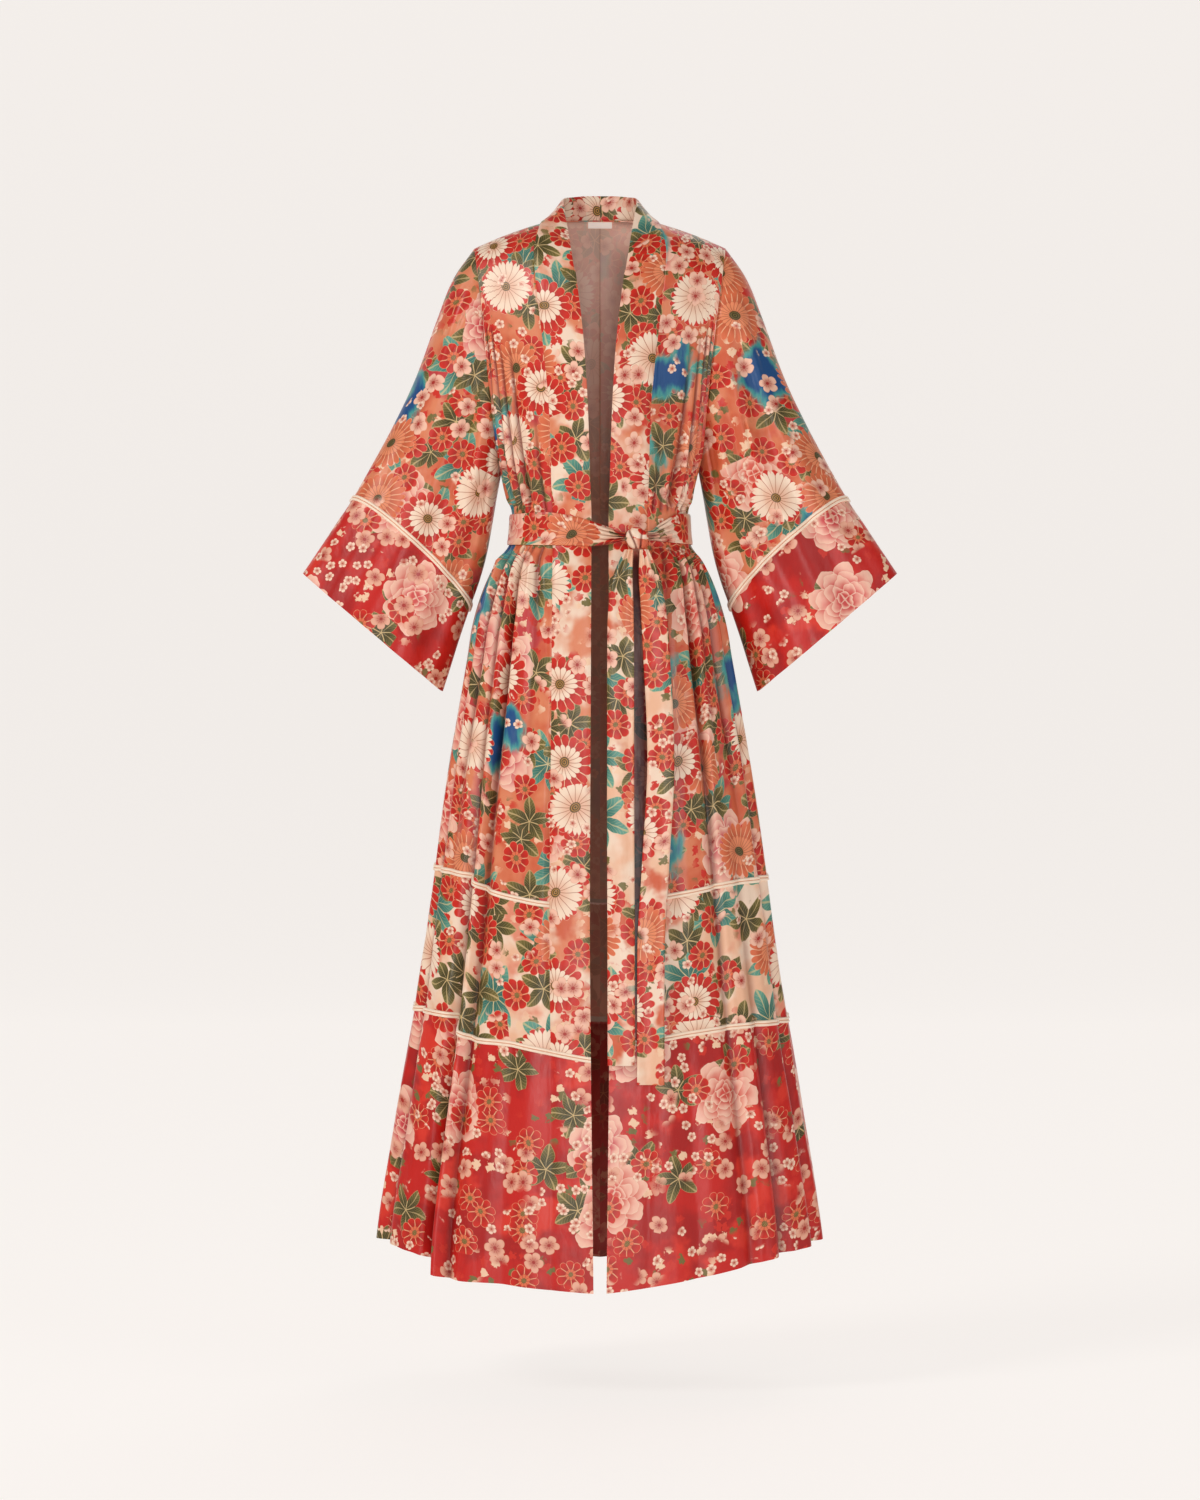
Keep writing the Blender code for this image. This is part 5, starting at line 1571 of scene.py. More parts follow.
def quarter(panel, side_name):
    """The outer grid of a quarter of the robe, with its normals and its flat pattern."""
    side = SIDES[side_name]
    place = panel_places(panel)
    height = row_heights(panel, side_name, place)
    angle = placed_angle(panel, side_name, place, height)
    smooth = draped_points(panel, side_name, angle, height)
    smooth = eased_at_underarm(smooth, panel, side_name, place, angle, height)
    if panel == "front":
        set_free_edge(smooth, place, height[:, 0], side)
    across = lengths_along(smooth, 1)
    across = side * (across - across[:, [np.searchsorted(place, 1.0 if panel == "front" else 0.0)]])
    down = lengths_along(smooth, 0)
    flat = np.stack([across, down - down[BELT_ROW]], axis=-1)
    away = outward(panel, side, angle, height)
    outer = smooth + away * loose_moves(panel, side_name, place, height, flat)[..., None]
    normals = turned_to(away + (0, 0, 0.5), grid_normals(outer))
    below = height[:, -1] <= UNDERARM_HEIGHT
    normals[below, -1] = (side, 0, 0)
    if panel == "back":
        normals[:, 0, 0] = 0
    normals = unit(normals)
    return {"place": place, "height": height, "outer": outer, "normals": normals, "flat": flat}


def set_free_edge(points, place, heights, side):
    """Bends the band's free edge off the chest where it stands up round the neck."""
    band = place <= 1.0
    seam = np.searchsorted(place, 1.0)
    part = place[band][:, None]
    meets = FREE_EDGE.rows[0, 0]
    for row in np.nonzero(heights >= LEAVES_CHEST_FROM)[0]:
        edge = points[row, 0].copy()
        if heights[row] >= meets:
            edge = np.array([FREE_EDGE.read(axis, heights[row]) for axis in "xyz"]) * (side, 1, 1)
        straight = edge * (1 - part) + points[row, seam] * part
        share = min(1, (heights[row] - LEAVES_CHEST_FROM) / (meets - LEAVES_CHEST_FROM))
        share = share * share * (3 - 2 * share)
        points[row, band] = points[row, band] * (1 - share) + straight * share


QUARTERS = {(panel, name): quarter(panel, name) for panel in ("front", "back") for name in SIDES}
print("grid of a quarter", QUARTERS["front", "left"]["outer"].shape)

# %% [markdown]
# Each quarter is now cut into its main panel, the cream middle tier and the red hem border. The
# border runs to the front edge, below the end of the band, and its hem is turned up, which makes the
# last centimetre slightly thicker.

# %% Fronts, backs and tiers
HEM_THICKER = 0.0012
HEM_TURNED = 0.010
HEM_STEP = 0.002
SEAM_SINK = 0.0010
SEAM_SINK_WIDTH = 0.12
SEAM_SINK_FADE = 0.02
PATTERN_SHIFT = {"front": 0.0, "back": 3.7}
LEFT_SHIFT = 0.9
# Between these heights painted shade dims the inside; the centre-back seam is this wide and this dark
INSIDE_DARK = (1.36, 0.98)
CENTRE_SEAM = (0.035, 0.55)
PALE_SEAM = -1.0


def sink_at(place, seam):
    """A fine valley along a seam, where the stitches pull the cloth in."""
    return SEAM_SINK * np.exp(-(((place - seam) / SEAM_SINK_WIDTH) ** 2))


def inside_shade_and_seams(name, place, height):
    """Painted shade that dims the inside from the neck down, with the dark line of the centre-back seam and
    the pale tier seams.
    """
    shade_and_seams = np.interp(-height, [-z for z in INSIDE_DARK], (0.0, 1.0))
    if "back" in name:
        width, depth = CENTRE_SEAM
        shade_and_seams = shade_and_seams + depth * ramp(1 - place / width)
    if name.startswith(("middle", "hem")):
        shade_and_seams[-2:] = PALE_SEAM
    return shade_and_seams


def cut_panel(name, piece, rows, columns, right, wrong, thicker=0.0):
    """Cuts a block out of a quarter and makes it a piece."""
    outer = piece["outer"][rows, columns]
    normals = piece["normals"][rows, columns]
    inner = outer - normals * (CLOTH + np.asarray(thicker))
    flat = piece["flat"][rows, columns] + piece["shift"]
    inside = inside_shade_and_seams(name, piece["place"][columns], piece["height"][rows, columns])
    cloth_piece(name, outer, inner, flat, right, wrong, inside=inside)


for (panel, side_name), piece in QUARTERS.items():
    place = piece["place"]
    seam = np.searchsorted(place, 1.0) if panel == "front" else 0
    piece["seam"] = seam
    sink = sink_at(place, place[-1]) + sink_at(place, 0.0 if panel == "back" else 1.0)
    to_ridge = ramp((NECK_POINT_HEIGHT - piece["height"]) / SEAM_SINK_FADE)
    piece["outer"] = piece["outer"] - piece["normals"] * (sink * to_ridge)[..., None]
    piece["shift"] = np.array([PATTERN_SHIFT[panel] + LEFT_SHIFT * (SIDES[side_name] > 0), 0.0])
    main = slice(seam, None)
    low, high = slice(0, LOWER_CUT + 1), slice(UPPER_CUT, None)
    from_hem = lengths_along(piece["outer"][low], 0)
    turned = HEM_THICKER * ramp((HEM_TURNED - from_hem) / HEM_STEP)[..., None]
    cut_panel(f"{panel}_{side_name}", piece, high, main, "main_print", "main_wrong_side")
    middle = slice(LOWER_CUT, UPPER_CUT + 1)
    cut_panel(f"middle_{panel}_{side_name}", piece, middle, main, "middle_print", "middle_wrong_side")
    whole = slice(0, None)
    cut_panel(f"hem_{panel}_{side_name}", piece, low, whole, "border_print", "border_wrong_side", turned)

# %% [markdown]
# The neckband is a strip folded double and sewn over the front edge, so it is thicker and softer than
# one layer, with rounded edges. It runs straight from the lower piping to the chest, leaves the chest
# below the collar bone and stands up round the neck to the centre back. Below the belt the left strip
# gets a dark band of painted shade where it shows between the belt's two hanging ends.

# %% The neckband
BAND_PUFF = 0.0013
BAND_ROUNDED = 0.10
BAND_EDGE = 0.35
NECK_STEPS = 34
NECK_SPREAD = 1.2
BAND_SHIFT = {"left": 7.3, "right": 9.1}
GAP_ENDS = 0.27
GAP_FADES = (0.02, 0.15)
GAP_SHADE = 2.0
# Where the painted shade lies between the belt's hanging ends: its middle and half width by height
SHADED_GAP = Table(
    "height x half_width",
    (BELT_BOTTOM, 0.0480, 0.0080),
    (0.9000, 0.0480, 0.0080),
    (0.8000, 0.0510, 0.0100),
    (0.7000, 0.0535, 0.0110),
    (0.5500, 0.0500, 0.0080),
    (GAP_ENDS, 0.0480, 0.0050),
)


def rounded_profile(part, corner=BAND_ROUNDED):
    """1 along the middle of a strip, falling off roundly to 0 at both of its edges."""
    near = ramp(np.minimum(part, 1 - part) / corner)
    return np.sqrt(1 - (1 - near) ** 2)


def thinned(profile, edge):
    """Full thickness where the profile is 1, and this share of it at the edges."""
    return edge + (1 - edge) * profile


def make_band(side_name):
    """Makes the neckband of one side: the front's own first columns, and a part round the neck."""
    side = SIDES[side_name]
    piece = QUARTERS["front", side_name]
    columns = slice(0, piece["seam"] + 1)
    part = piece["place"][columns]
    outer = piece["outer"][LOWER_CUT:, columns]
    x = NECK_HALF_WIDTH * (1 - np.linspace(0, 1, NECK_STEPS + 1)[1:] ** NECK_SPREAD)
    top, cut = ridge(x)
    seam = np.stack([side * x, cut, top], axis=-1)
    edge = np.stack([NAPE_EDGE.read(axis, x) for axis in "xyz"], axis=-1) * (side, 1, 1)
    neck = edge[:, None] * (1 - part[:, None]) + seam[:, None] * part[:, None]
    outer = np.concatenate([outer, neck])
    normals = turned_to(outer * (1, 1, 0) + (0, 0, 0.02), grid_normals(outer))
    normals[-1, :, 0] = 0
    normals = unit(normals)
    puff = (BAND_PUFF * rounded_profile(part))[None, :, None]
    down = lengths_along(outer, 0)
    across = lengths_along(outer, 1) * side + BAND_SHIFT[side_name]
    flat = np.stack([across, down - down[BELT_ROW - LOWER_CUT]], axis=-1)
    bulk = (BAND_CLOTH * thinned(rounded_profile(part), BAND_EDGE))[None, :, None]
    outer, inner = outer + normals * puff, outer - normals * bulk
    shade = valleys(outer, inner, False)
    # Painted shade on the left band, in the gap between the belt's two hanging ends
    if side_name == "left":
        x, height = outer[..., 0], outer[..., 2]
        shown = ramp((BELT_BOTTOM - height) / GAP_FADES[0])
        shown = shown * ramp((height - GAP_ENDS) / GAP_FADES[1])
        middle = SHADED_GAP.read("x", np.clip(height, GAP_ENDS, BELT_BOTTOM))
        half = SHADED_GAP.read("half_width", np.clip(height, GAP_ENDS, BELT_BOTTOM))
        shade = np.maximum(shade, GAP_SHADE * shown * np.exp(-(((x - middle) / half) ** 4)))
    cloth_piece(f"band_{side_name}", outer, inner, flat, "band_print", shade=shade)


for side_name in SIDES:
    make_band(side_name)
print("neckband of", NECK_STEPS, "steps behind the neck")

# %% [markdown]
# The wide sleeve is a flat tube set into the armhole. Hanging, it swings out to a point below the
# hand and folds softly along its length. Its rings grow from the table of sleeve sizes, and for the
# print front and back are laid out flat beside each other.

# %% Points, creases and pattern of a sleeve
SLEEVE_CREASES = 9
SLEEVE_LEAN = (-0.22, 0.06)
SLEEVE_REACH = (0.4, 1.0)
SLEEVE_CREASE_WIDTH = (0.014, 0.03)
SLEEVE_CREASE_DEPTH = (0.001, 0.0028)
UNDERARM_CREASES = 5
UNDERARM_REACH = (0.25, 0.5)
UNDERARM_CREASE = (0.014, 0.0016)


def sleeve_points(side_name, face, run, up):
    """Points of a sleeve and its cuff; face is "front" or "back", up runs from the under edge."""
    side = SIDES[side_name]
    run, up = np.broadcast_arrays(np.asarray(run, float), np.asarray(up, float))
    size = {name: SLEEVE.read(name, run) for name in SLEEVE.columns[1:]}
    shape = armhole_opening(up) / ARMHOLE_HALF_DEPTH
    x = size["under_x"] + up * (size["outer_x"] - size["under_x"]) - BOW_ACROSS * size["bow"] * shape
    z = size["under_z"] + up * (size["outer_z"] - size["under_z"]) + BOW_UP * size["bow"] * shape
    depth = size["depth"] * shape + size["folds"] * SLEEVE_FOLDS.read(face, up) / 1000
    facing = -1 if face == "front" else 1
    return np.stack([side * x, facing * depth, z], axis=-1)


def sleeve_creases(side_name):
    """Long creases down a sleeve and short ones that pull from the underarm."""
    dice = random.Random(f"sleeve {side_name}")
    creases = []
    for k in range(SLEEVE_CREASES):
        at = 0.10 + 0.85 * (k + dice.uniform(0.2, 0.8)) / SLEEVE_CREASES
        start = dice.uniform(0.02, 0.5)
        lean = dice.uniform(*SLEEVE_LEAN)
        reach = dice.uniform(*SLEEVE_REACH)
        width = dice.uniform(*SLEEVE_CREASE_WIDTH)
        creases.append((at, lean, start, reach, width, dice.uniform(*SLEEVE_CREASE_DEPTH)))
    for k in range(UNDERARM_CREASES):
        reach = dice.uniform(*UNDERARM_REACH)
        creases.append((0.03 + 0.05 * k, 0.30 + 0.12 * k, 0.0, reach, *UNDERARM_CREASE))
    return creases


def sleeve_pattern(outer, shift):
    """Lays front and back of the sleeve out flat, each ring straight along its own direction."""
    half = len(ARMHOLE_PARTS)
    middle = half // 2
    front = outer[:, :half]
    back = np.concatenate([outer[:, :1], outer[:, : half - 2 : -1]], axis=1)
    laid = []
    for face in (front, back):
        along = lengths_along(face, 1)
        along = along - along[:, [middle]]
        level = (face[:, -1] - face[:, 0])[:, [0, 2]]
        level = level / np.linalg.norm(level, axis=1, keepdims=True)
        centre = front[:, middle][:, [0, 2]]
        laid.append(centre[:, None] + along[..., None] * level[:, None])
    flat = np.concatenate([laid[0], laid[1][:, -2::-1]], axis=1)
    return flat + (shift, 0.0)


tip = sleeve_points("left", "front", 1.6, 0.0)
print("a sleeve's lowest point:", [round(float(part), 3) for part in tip])

# %% [markdown]
# The first ring is the armhole's own edge, so the sleeve is set in without a gap. Creases and slow
# swellings follow, and a fine valley at the armhole. The cuff is the same tube, cut off at the piping.

# %% Sleeves and cuffs
CUFF_FROM = 1.0
SLEEVE_RUNS = np.concatenate([[0.0, 0.008], np.linspace(0.02, CUFF_FROM, 78)])
CUFF_RUNS = np.linspace(CUFF_FROM, 1.6, 40)
RIM_FADE = 0.16
SLEEVE_CALM = 0.1
SHOULDER_CALM = (0.97, 0.25)
SLEEVE_WAVES = (0.15, 0.09)
SLEEVE_WAVE_DEPTH = 0.0016
ARMHOLE_SINK = 0.0022
ARMHOLE_SINK_WIDTH = 0.02
OPENING_TURNED = 0.008
SLEEVE_SHIFT = {"left": 11.3, "right": 13.9}


def make_sleeve(side_name):
    """Makes a sleeve with its cuff, and gives their common grid, its normals and the row of the seam."""
    runs = np.concatenate([SLEEVE_RUNS, CUFF_RUNS[1:]])
    ups = np.concatenate([ARMHOLE_PARTS, ARMHOLE_PARTS[-2:0:-1]])
    is_front = np.arange(len(ups)) < len(ARMHOLE_PARTS)
    grids = {face: sleeve_points(side_name, face, runs[:, None], ups) for face in ("front", "back")}
    outer = np.where(is_front[None, :, None], grids["front"], grids["back"])
    count = len(ARMHOLE_PARTS)
    rims = {}
    for kind in ("outer", "normals"):
        front, back = (QUARTERS[panel, side_name][kind][-count:, -1] for panel in ("front", "back"))
        rims[kind] = np.concatenate([front, back[-2:0:-1]])
    fade = ramp(1 - runs / RIM_FADE)[:, None, None]
    outer = outer + (rims["outer"] - outer[0])[None] * fade * fade
    away = outer - outer.mean(axis=1, keepdims=True)
    normals = turned_to(away, grid_normals(outer, closed=True))
    flat = sleeve_pattern(outer, SLEEVE_SHIFT[side_name])
    rolled = np.sin(np.pi * ups) ** 0.5
    move = soft_waves(flat[:, :-1] * (1.0, 0.6), f"sleeve {side_name}", SLEEVE_WAVES, SLEEVE_WAVE_DEPTH)
    for face, chosen in (("front", is_front), ("back", ~is_front)):
        creases = sleeve_creases(f"{side_name} {face}")
        move = move + np.where(chosen, crease_depth(creases, ups[None, :], runs[:, None]), 0)
    move = move * rolled * ramp(runs / SLEEVE_CALM)[:, None]
    below_shoulder = ramp((SHOULDER_CALM[0] - ups) / SHOULDER_CALM[1])
    sink = np.exp(-((runs / ARMHOLE_SINK_WIDTH) ** 2))[:, None]
    move = move - ARMHOLE_SINK * below_shoulder * sink
    outer = outer + normals * move[..., None]
    normals = turned_to(away, grid_normals(outer, closed=True))
    to_end = lengths_along(outer[::-1], 0)[::-1]
    thick = CLOTH + HEM_THICKER * ramp((OPENING_TURNED - to_end) / HEM_STEP)
    inner = outer - normals * thick[..., None]
    cut = len(SLEEVE_RUNS) - 1
    for name, rows, right, wrong in (("sleeve", slice(0, cut + 1), "main_print", "main_wrong_side"),
                                     ("cuff", slice(cut, None), "border_print", "border_wrong_side")):
        cloth_piece(f"{name}_{side_name}", outer[rows], inner[rows], flat[rows], right, wrong,
                    closed=True, seam=count - 1)
    return outer, normals, cut


SLEEVES = {side_name: make_sleeve(side_name) for side_name in SIDES}

# %% [markdown]
# A flat double piping covers the tier seams and the cuff seams: two narrow cords side by side, in
# cream with a peach line where they meet. A cross-section with two bumps is swept along the seam's
# own points, so the piping dips and rises with every fold that it crosses.

# %% Pipings
PIPING_WIDTH = 0.0080
PIPING_HIGH = 0.0027
PIPING_LOW = 0.0012
PIPING_EDGE = 0.35
PIPING_SUNK = 0.0002
PIPING_STEPS = 14


def piping_bumps(across):
    """Height of the double cord over its width, which runs from -1 to 1."""
    cord = np.sqrt(ramp(1 - (2 * np.abs(across) - 1) ** 2))
    return PIPING_LOW + (PIPING_HIGH - PIPING_LOW) * cord


def make_piping(name, points, normals, row, closed=False):
    """Lays the double cord along one row of a grid."""
    middle = points[row]
    below = unit(points[row - 1] - middle)
    above = unit(points[row + 1] - middle)
    strip, base = [], []
    for across in np.linspace(-1, 1, PIPING_STEPS + 1):
        way = below * max(-across, 0) + above * max(across, 0)
        on = middle + way * PIPING_WIDTH / 2
        edge = 1 if abs(across) < 0.99 else PIPING_EDGE
        strip.append(on + normals[row] * piping_bumps(across) * edge)
        base.append(on - normals[row] * PIPING_SUNK)
    strip, base = np.array(strip), np.array(base)
    ring = np.concatenate([strip, strip[:, :1]], axis=1) if closed else strip
    along = lengths_along(ring, 1)
    up = np.linspace(-1, 1, PIPING_STEPS + 1)[:, None] * PIPING_WIDTH / 2 + along * 0
    cloth_piece(name, strip, base, np.stack([along, up], axis=-1), "piping", closed=closed)


for side_name in SIDES:
    front, back = QUARTERS["front", side_name], QUARTERS["back", side_name]
    for line, cut, first in (("upper", UPPER_CUT, front["seam"]), ("lower", LOWER_CUT, 0)):
        rows = slice(cut - 1, cut + 2)
        joined = {kind: np.concatenate([front[kind][rows, first:-1], back[kind][rows, ::-1]], axis=1)
                  for kind in ("outer", "normals")}
        make_piping(f"piping_{line}_{side_name}", joined["outer"], joined["normals"], 1)
    outer, normals, cut = SLEEVES[side_name]
    make_piping(f"cuff_piping_{side_name}", outer, normals, cut, closed=True)
print("six pipings, each", PIPING_WIDTH * 1000, "mm wide")

# %% [markdown]
# The belt is one long strip tied in a simple knot beside the opening. Round the waist it lies flat.
# Towards the knot it is pulled narrow, and the spare cloth stands up in lengthwise creases. Table
# rows give its edges by the distance from the robe's centre; the creases grow where it narrows.

# %% The belt round the waist
KNOT_X = 0.0490
KNOT_HEIGHT = 0.9890
KNOT_HALF_WIDTH = 0.0165
KNOT_HALF_HEIGHT = 0.0135
KNOT_DEPTH = 0.0190
KNOT_CENTRE_Y = -0.1120
BELT_CLOTH = 0.0020
BELT_CLEARANCE = 0.0018
BELT_STEPS = 26
BELT_ROUNDED = 0.22
BELT_EDGE = 0.3
BELT_THINNEST = 0.0006
BELT_UNDER_KNOT = 0.6
BELT_CREASES = 4.5
CREASED_SHARE = 0.38
FLAT_CREASE = 0.0006
SWELLING = 0.00025
BELT_SHIFT = 16.0
# Edges of the belt in front and how thick it is gathered, by the distance from the centre
BELT_FRONT = Table(
    "x bottom top gathered",
    (-0.1170, 0.9830, 1.0235, 0.0000),
    (-0.0735, 0.9820, 1.0255, 0.0000),
    (-0.0400, 0.9810, 1.0205, 0.0010),
    (-0.0220, 0.9805, 1.0170, 0.0020),
    (0.0100, 0.9825, 1.0060, 0.0045),
    (0.0320, 0.9870, 0.9990, 0.0065),
    (0.0660, 0.9880, 1.0000, 0.0065),
    (0.0800, 0.9865, 1.0100, 0.0040),
    (0.0950, 0.9855, 1.0190, 0.0020),
    (0.1060, 0.9845, 1.0240, 0.0005),
    (0.1170, 0.9835, 1.0240, 0.0000),
)


def make_belt():
    """Makes the belt from one side of the knot round the waist to the other."""
    width = BODY.read("half_width", BELT_BOTTOM)
    left_end = KNOT_X + KNOT_HALF_WIDTH * BELT_UNDER_KNOT
    right_end = KNOT_X - KNOT_HALF_WIDTH * BELT_UNDER_KNOT
    turns = np.concatenate([
        np.linspace(ring_angle(left_end / width), 90, 40),
        np.linspace(90, 270, 110)[1:],
        np.linspace(270, 360 + ring_angle(right_end / width), 80)[1:],
    ])
    side = np.where(np.sin(np.radians(turns)) >= 0, 1, -1)
    is_front = np.cos(np.radians(turns)) > 0
    angle = np.where(is_front, np.abs((turns + 90) % 360 - 90), np.abs(turns - 180))
    x = side * width * ring_parts(angle)[0]
    bottom = np.where(is_front, BELT_FRONT.read("bottom", x), BELT_BOTTOM)
    top = np.where(is_front, BELT_FRONT.read("top", x), BELT_TOP)
    gathered = np.where(is_front, BELT_FRONT.read("gathered", x), 0)
    share = np.linspace(0, 1, BELT_STEPS + 1)[:, None]
    height = bottom + (top - bottom) * share
    points = {panel: body_points(panel, side, angle, height) for panel in ("front", "back")}
    away = {panel: outward(panel, side, angle, height) for panel in ("front", "back")}
    on = np.where(is_front[:, None], points["front"], points["back"])
    out = np.where(is_front[:, None], away["front"], away["back"])
    inner = on + out * BELT_CLEARANCE
    along = lengths_along(inner, 1)
    wander = 0.35 * np.sin(along * 60) + 0.2 * np.sin(along * 23 + 1)
    crease = np.cos(2 * np.pi * (share * BELT_CREASES + wander))
    softly = SWELLING * np.sin(along * 95 + share * 5) * np.sin(np.pi * share)
    profile = rounded_profile(share, BELT_ROUNDED)
    body_of_cloth = BELT_CLOTH * thinned(profile, BELT_EDGE)
    bundle = gathered * profile * (1 - CREASED_SHARE + CREASED_SHARE * crease)
    flat_crease = FLAT_CREASE * crease * ramp(gathered / 0.001) * profile
    thick = body_of_cloth + bundle + flat_crease + softly
    outer = inner + out * np.maximum(thick, BELT_THINNEST)[..., None]
    spread = (share - 0.5) * (BELT_TOP - BELT_BOTTOM)
    flat = np.stack([along + BELT_SHIFT, spread + along * 0], axis=-1)
    # Painted shade in the belt's creases where it is gathered towards the knot
    shade = ramp(-crease) ** 2 * ramp(gathered / 0.004) * 0.9
    cloth_piece("belt_waist", outer, inner, flat, "belt_print", shade=shade)


make_belt()
print("belt from", BELT_BOTTOM, "to", BELT_TOP, "above the hem")

# %% [markdown]
# The knot is the belt's cloth wrapped once over itself. A rounded bundle with grooves that run over
# it from top to bottom reads as that wrap; the belt's two sides run into it like fans.

# %% The knot
KNOT_RINGS = 96
KNOT_STATIONS = 61
KNOT_TALLER = 1.10
KNOT_LIFT = 0.0014
KNOT_SLOPE = 0.0012
KNOT_ENDS = (0.80, 2.6)
KNOT_BULGE = 0.05
KNOT_SHORTER = 0.86
KNOT_PATTERN = 0.8
KNOT_SHIFT = 2.2
KNOT_GROOVES = ((-0.42, 0.30), (0.40, -0.16))
KNOT_GROOVE_WIDTH = 0.13
KNOT_GROOVE_DEPTH = 0.0034
KNOT_GROOVE_SHADE = 1.6


def make_knot():
    """Makes the knot: a rounded bundle with two leaning grooves."""
    along = np.linspace(-1, 1, KNOT_STATIONS)[:, None]
    turn = (2 * np.pi * np.arange(KNOT_RINGS) / KNOT_RINGS)[None, :]
    swell = np.sqrt(1 - KNOT_ENDS[0] * np.abs(along) ** KNOT_ENDS[1])
    cut = 0
    for k, (at, slant) in enumerate(KNOT_GROOVES):
        lean = slant * np.sin(turn) + KNOT_BULGE * np.sin(2 * turn + k)
        groove = np.exp(-(((along + lean - at) / KNOT_GROOVE_WIDTH) ** 2))
        cut = cut + groove * (0.7 + 0.3 * np.cos(turn + k))
    tall = KNOT_HALF_HEIGHT * KNOT_TALLER
    radius = swell * (1 - KNOT_GROOVE_DEPTH / tall * cut)
    x = KNOT_X + along * KNOT_HALF_WIDTH * KNOT_SHORTER * (1 + KNOT_BULGE * np.cos(turn * 2)) + 0 * turn
    y = KNOT_CENTRE_Y - KNOT_DEPTH / 2 * radius * np.cos(turn)
    z = KNOT_HEIGHT + KNOT_LIFT + tall * radius * np.sin(turn) - KNOT_SLOPE * along
    outer = np.stack(np.broadcast_arrays(x, y, z), axis=-1)
    middle = np.stack(np.broadcast_arrays(x, KNOT_CENTRE_Y, KNOT_HEIGHT + KNOT_LIFT), axis=-1)
    inner = outer + unit(middle - outer) * CLOTH
    around = np.append(turn[0], TURN) * tall * KNOT_PATTERN
    across = along * KNOT_HALF_WIDTH * KNOT_PATTERN + BELT_SHIFT + KNOT_SHIFT
    flat = np.stack(np.broadcast_arrays(across, around), axis=-1)
    # Painted shade in the knot's two grooves, strong enough to reach the deepest shade
    shade = KNOT_GROOVE_SHADE * ramp(cut) ** 2
    cloth_piece("belt_knot", outer, inner, flat, "belt_print", closed=True, shade=shade)


make_knot()
print("knot", KNOT_HALF_WIDTH * 2000, "mm wide")

# %% [markdown]
# The two ends hang free in front of the skirt. Just below the knot they are gathered like a fan, and
# further down they spread flat, with one or two long creases kept from the tying. Each follows the
# skirt behind it at a small distance, as cloth does that hangs by itself.

# %% The hanging ends
# By height: the middle of an end, its half width, and how thick it is gathered
TAILS = {
    "right": Table(
        "height x half_width gathered",
        (0.9757, 0.0380, 0.0060, 0.0050),
        (0.9400, 0.0300, 0.0130, 0.0030),
        (0.9000, 0.0275, 0.0165, 0.0010),
        (0.8500, 0.0270, 0.0175, 0.0000),
        (0.7000, 0.0270, 0.0178, 0.0000),
        (0.5000, 0.0275, 0.0180, 0.0000),
        (0.2990, 0.0280, 0.0180, 0.0000),
    ),
    "left": Table(
        "height x half_width gathered",
        (0.9757, 0.0580, 0.0060, 0.0050),
        (0.9400, 0.0650, 0.0140, 0.0030),
        (0.9000, 0.0700, 0.0165, 0.0010),
        (0.8500, 0.0735, 0.0175, 0.0000),
        (0.7000, 0.0800, 0.0178, 0.0000),
        (0.5600, 0.0730, 0.0180, 0.0000),
        (0.4500, 0.0670, 0.0180, 0.0000),
        (0.2740, 0.0665, 0.0180, 0.0000),
    ),
}
TAIL_CLEARANCE = 0.0085
TAIL_ROWS = 150
TAIL_COLUMNS = 26
TAIL_CREASES = 2.6
TAIL_WIDE = 0.0178
TAIL_NARROWER = 0.010
TAIL_SMOOTHED = 8
TAIL_ROUNDED = 0.08
TAIL_EDGE = 0.35
TAIL_HEM_THICKER = 0.6
TAIL_SHIFT = {"left": 18.2, "right": 19.7}
TAIL_PHASE = {"left": 0.4, "right": 2.1}
TAIL_HEM = 0.006


def make_tail(side_name):
    """Makes one hanging end of the belt, in front of the skirt behind it."""
    table = TAILS[side_name]
    low, high = table.rows[0, 0], table.rows[-1, 0]
    heights = high - (high - low) * np.linspace(0, 1, TAIL_ROWS + 1) ** 1.3
    middle = table.read("x", heights)
    half = table.read("half_width", heights)
    gathered = table.read("gathered", heights)
    share = np.linspace(-1, 1, TAIL_COLUMNS + 1)[:, None]
    x = middle + half * share
    angle = ring_angle(x / half_width(heights))
    behind = draped_points("front", "left", angle, heights + 0 * share)[..., 1].min(axis=0)
    window = np.ones(2 * TAIL_SMOOTHED + 1)
    smooth = np.convolve(np.pad(behind, TAIL_SMOOTHED, mode="edge"), window / len(window), mode="valid")
    back_y = np.minimum(smooth, behind) - TAIL_CLEARANCE
    phase = TAIL_PHASE[side_name]
    tight = ramp((TAIL_WIDE - half) / TAIL_NARROWER)
    hanging = 0.0011 * np.sin(share * TAIL_CREASES + phase + heights * 5)
    fan = 0.0014 * tight * np.cos(share * 9 + phase)
    sway = 0.0010 * np.sin(heights * 14 + phase)
    y = back_y + hanging + fan - sway - 0.0012
    inner = np.stack([x, y, heights + 0 * share], axis=-1)
    profile = rounded_profile((share + 1) / 2, TAIL_ROUNDED)
    at_hem = 1 + TAIL_HEM_THICKER * ramp((TAIL_HEM - (heights - low)) / HEM_STEP)
    thick = CLOTH * at_hem * thinned(profile, TAIL_EDGE) + gathered * profile
    outer = inner - thick[..., None] * np.array((0, 1, 0))
    down = lengths_along(inner, 1)
    flat = np.stack([half.max() * share + TAIL_SHIFT[side_name] + 0 * heights, -down], axis=-1)
    cloth_piece(f"belt_tail_{side_name}", outer, inner, flat, "belt_print")


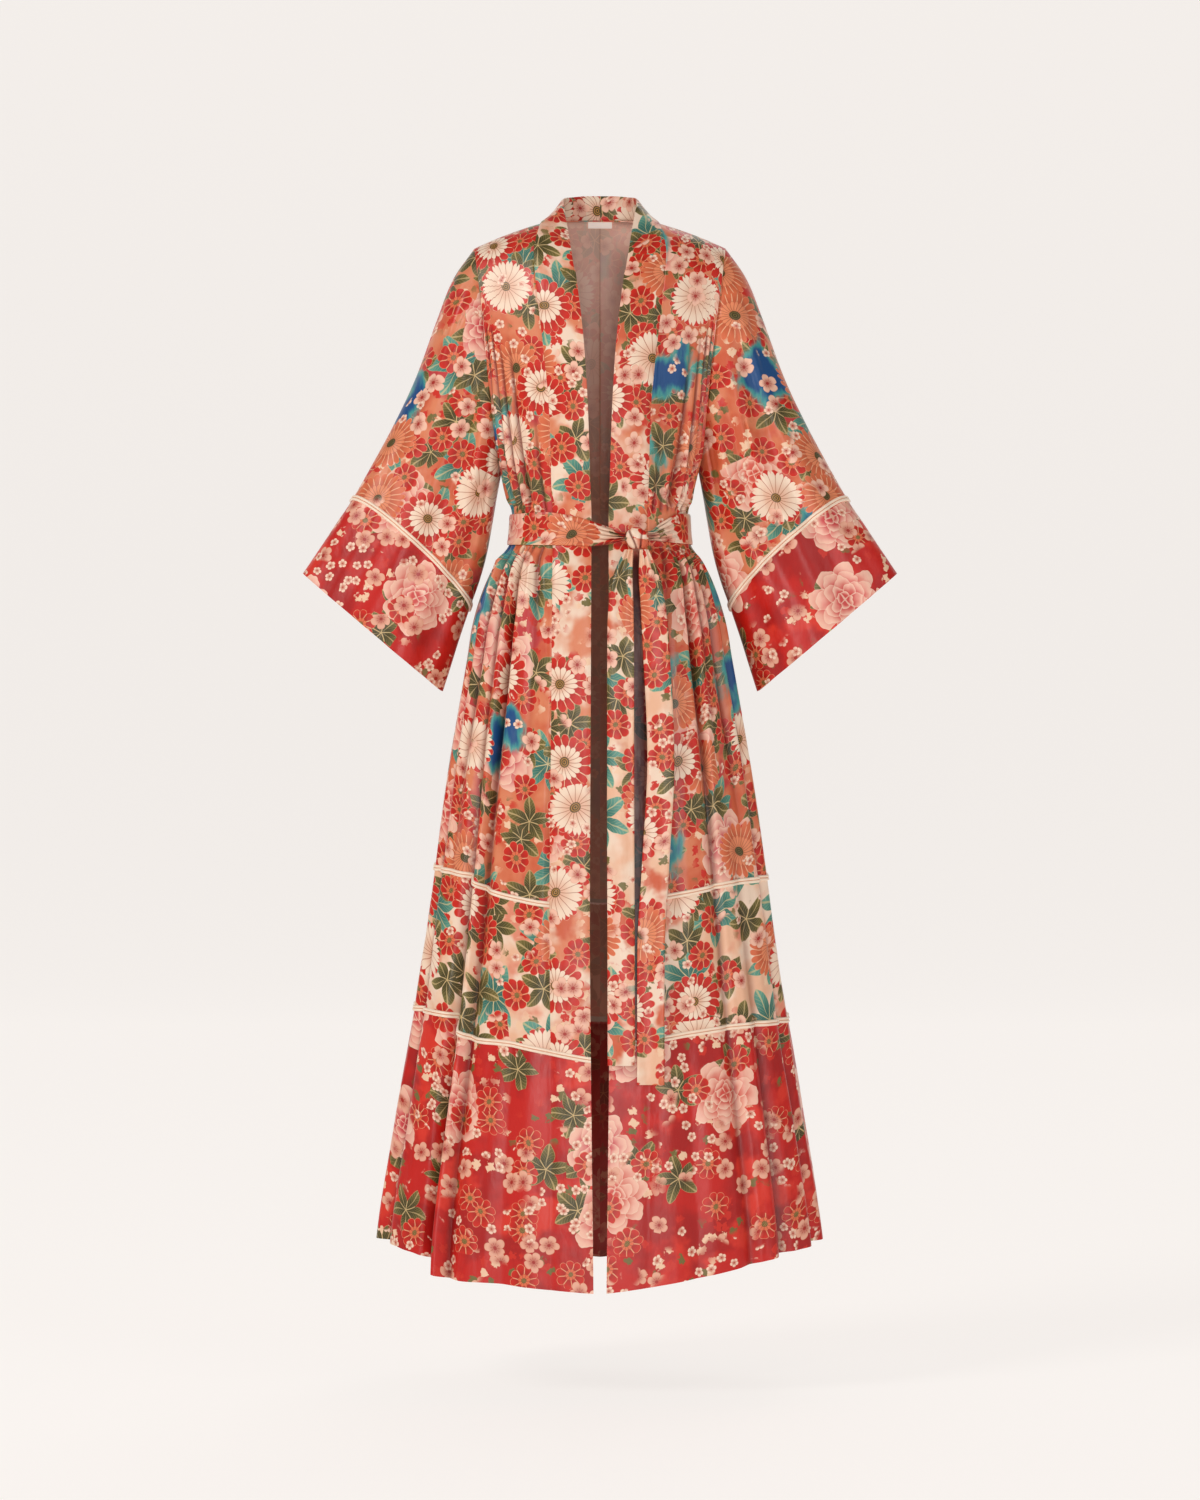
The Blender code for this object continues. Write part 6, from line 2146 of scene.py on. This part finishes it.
for side_name in SIDES:
    make_tail(side_name)
    across, down = FLAT_SIZES[f"belt_tail_{side_name}"][:2]
    print("hanging end", side_name, round(across, 3), "x", round(down, 3), "m")

# %% [markdown]
# A small woven label sits inside the back neck. It stays blank. It is a thin strip that hangs just
# under the band on the wrong side of the back, and leans with the cloth behind it.

# %% The label
LABEL_CLOTH = 0.0008
LABEL_COLUMNS = 25
LABEL_ROWS = 11


def make_label():
    """Makes the blank label in the place that the frame gives for it."""
    low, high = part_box("neck_label")
    x = np.linspace(low[0], high[0], LABEL_COLUMNS)
    z = np.linspace(low[2], high[2], LABEL_ROWS) + SHOULDER_HEIGHT
    back_y = np.interp(z, (z[0], z[-1]), (high[1] - LABEL_CLOTH / 2, low[1] + LABEL_CLOTH * 1.5))
    grid_x, grid_z = np.meshgrid(x, z)
    inner = np.stack([grid_x, np.repeat(back_y[:, None], len(x), axis=1), grid_z], axis=-1)
    outer = inner - np.array((0, 1, 0)) * LABEL_CLOTH
    cloth_piece("neck_label", outer, inner, np.stack([grid_x, grid_z], axis=-1), "label")


make_label()
print("blank label", [round(size * 1000, 1) for size in FLAT_SIZES["neck_label"][:2]], "mm")

# %% [markdown]
# The size that every loose piece of cloth was cut to is printed, from the lengths along its own grid.
# The pipings, the label and the knot are too narrow to be sheets of their own, so no size is printed
# for them; the calls name them beside the piece that they are sewn on or tied in.

# %% Flat sizes
def declare(node, held, rests_on, *carried):
    """Says what size a piece was cut to, from the lengths along its own grid; what is sewn on it is given but
    not used.
    """
    width, length, area = FLAT_SIZES[node]
    width, length = round(width + 0.0005, 3), round(length + 0.0005, 3)
    print(f"{node}: {width:.3f} x {length:.3f} m, {area:.3f} square metres")


for side_name in SIDES:
    for panel in ("front", "back"):
        trims = [f"piping_{line}_{side_name}" for line in ("upper", "lower")] if panel == "front" else []
        declare(f"{panel}_{side_name}", "hung", "belt_waist", *trims[:1])
        declare(f"middle_{panel}_{side_name}", "hung", f"{panel}_{side_name}", *trims[1:])
        declare(f"hem_{panel}_{side_name}", "hung", f"middle_{panel}_{side_name}")
    label = ["neck_label"] if side_name == "left" else []
    declare(f"band_{side_name}", "hung", f"front_{side_name}", *label)
    declare(f"sleeve_{side_name}", "hung", f"front_{side_name}", f"cuff_piping_{side_name}")
    declare(f"cuff_{side_name}", "hung", f"sleeve_{side_name}")
    declare(f"belt_tail_{side_name}", "hung", "belt_knot")
declare("belt_waist", "gathered", "front_left", "belt_knot")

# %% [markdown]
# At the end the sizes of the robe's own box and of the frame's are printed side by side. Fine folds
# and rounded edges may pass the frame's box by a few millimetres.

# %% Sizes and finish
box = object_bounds()
sizes = {name: [[float(v) for v in corner] for corner in corners] for name, corners in
         (("cad", frame_box), ("visual", box))}
for name, corners in sizes.items():
    print(name, [round(high - low, 4) for low, high in zip(*corners)])
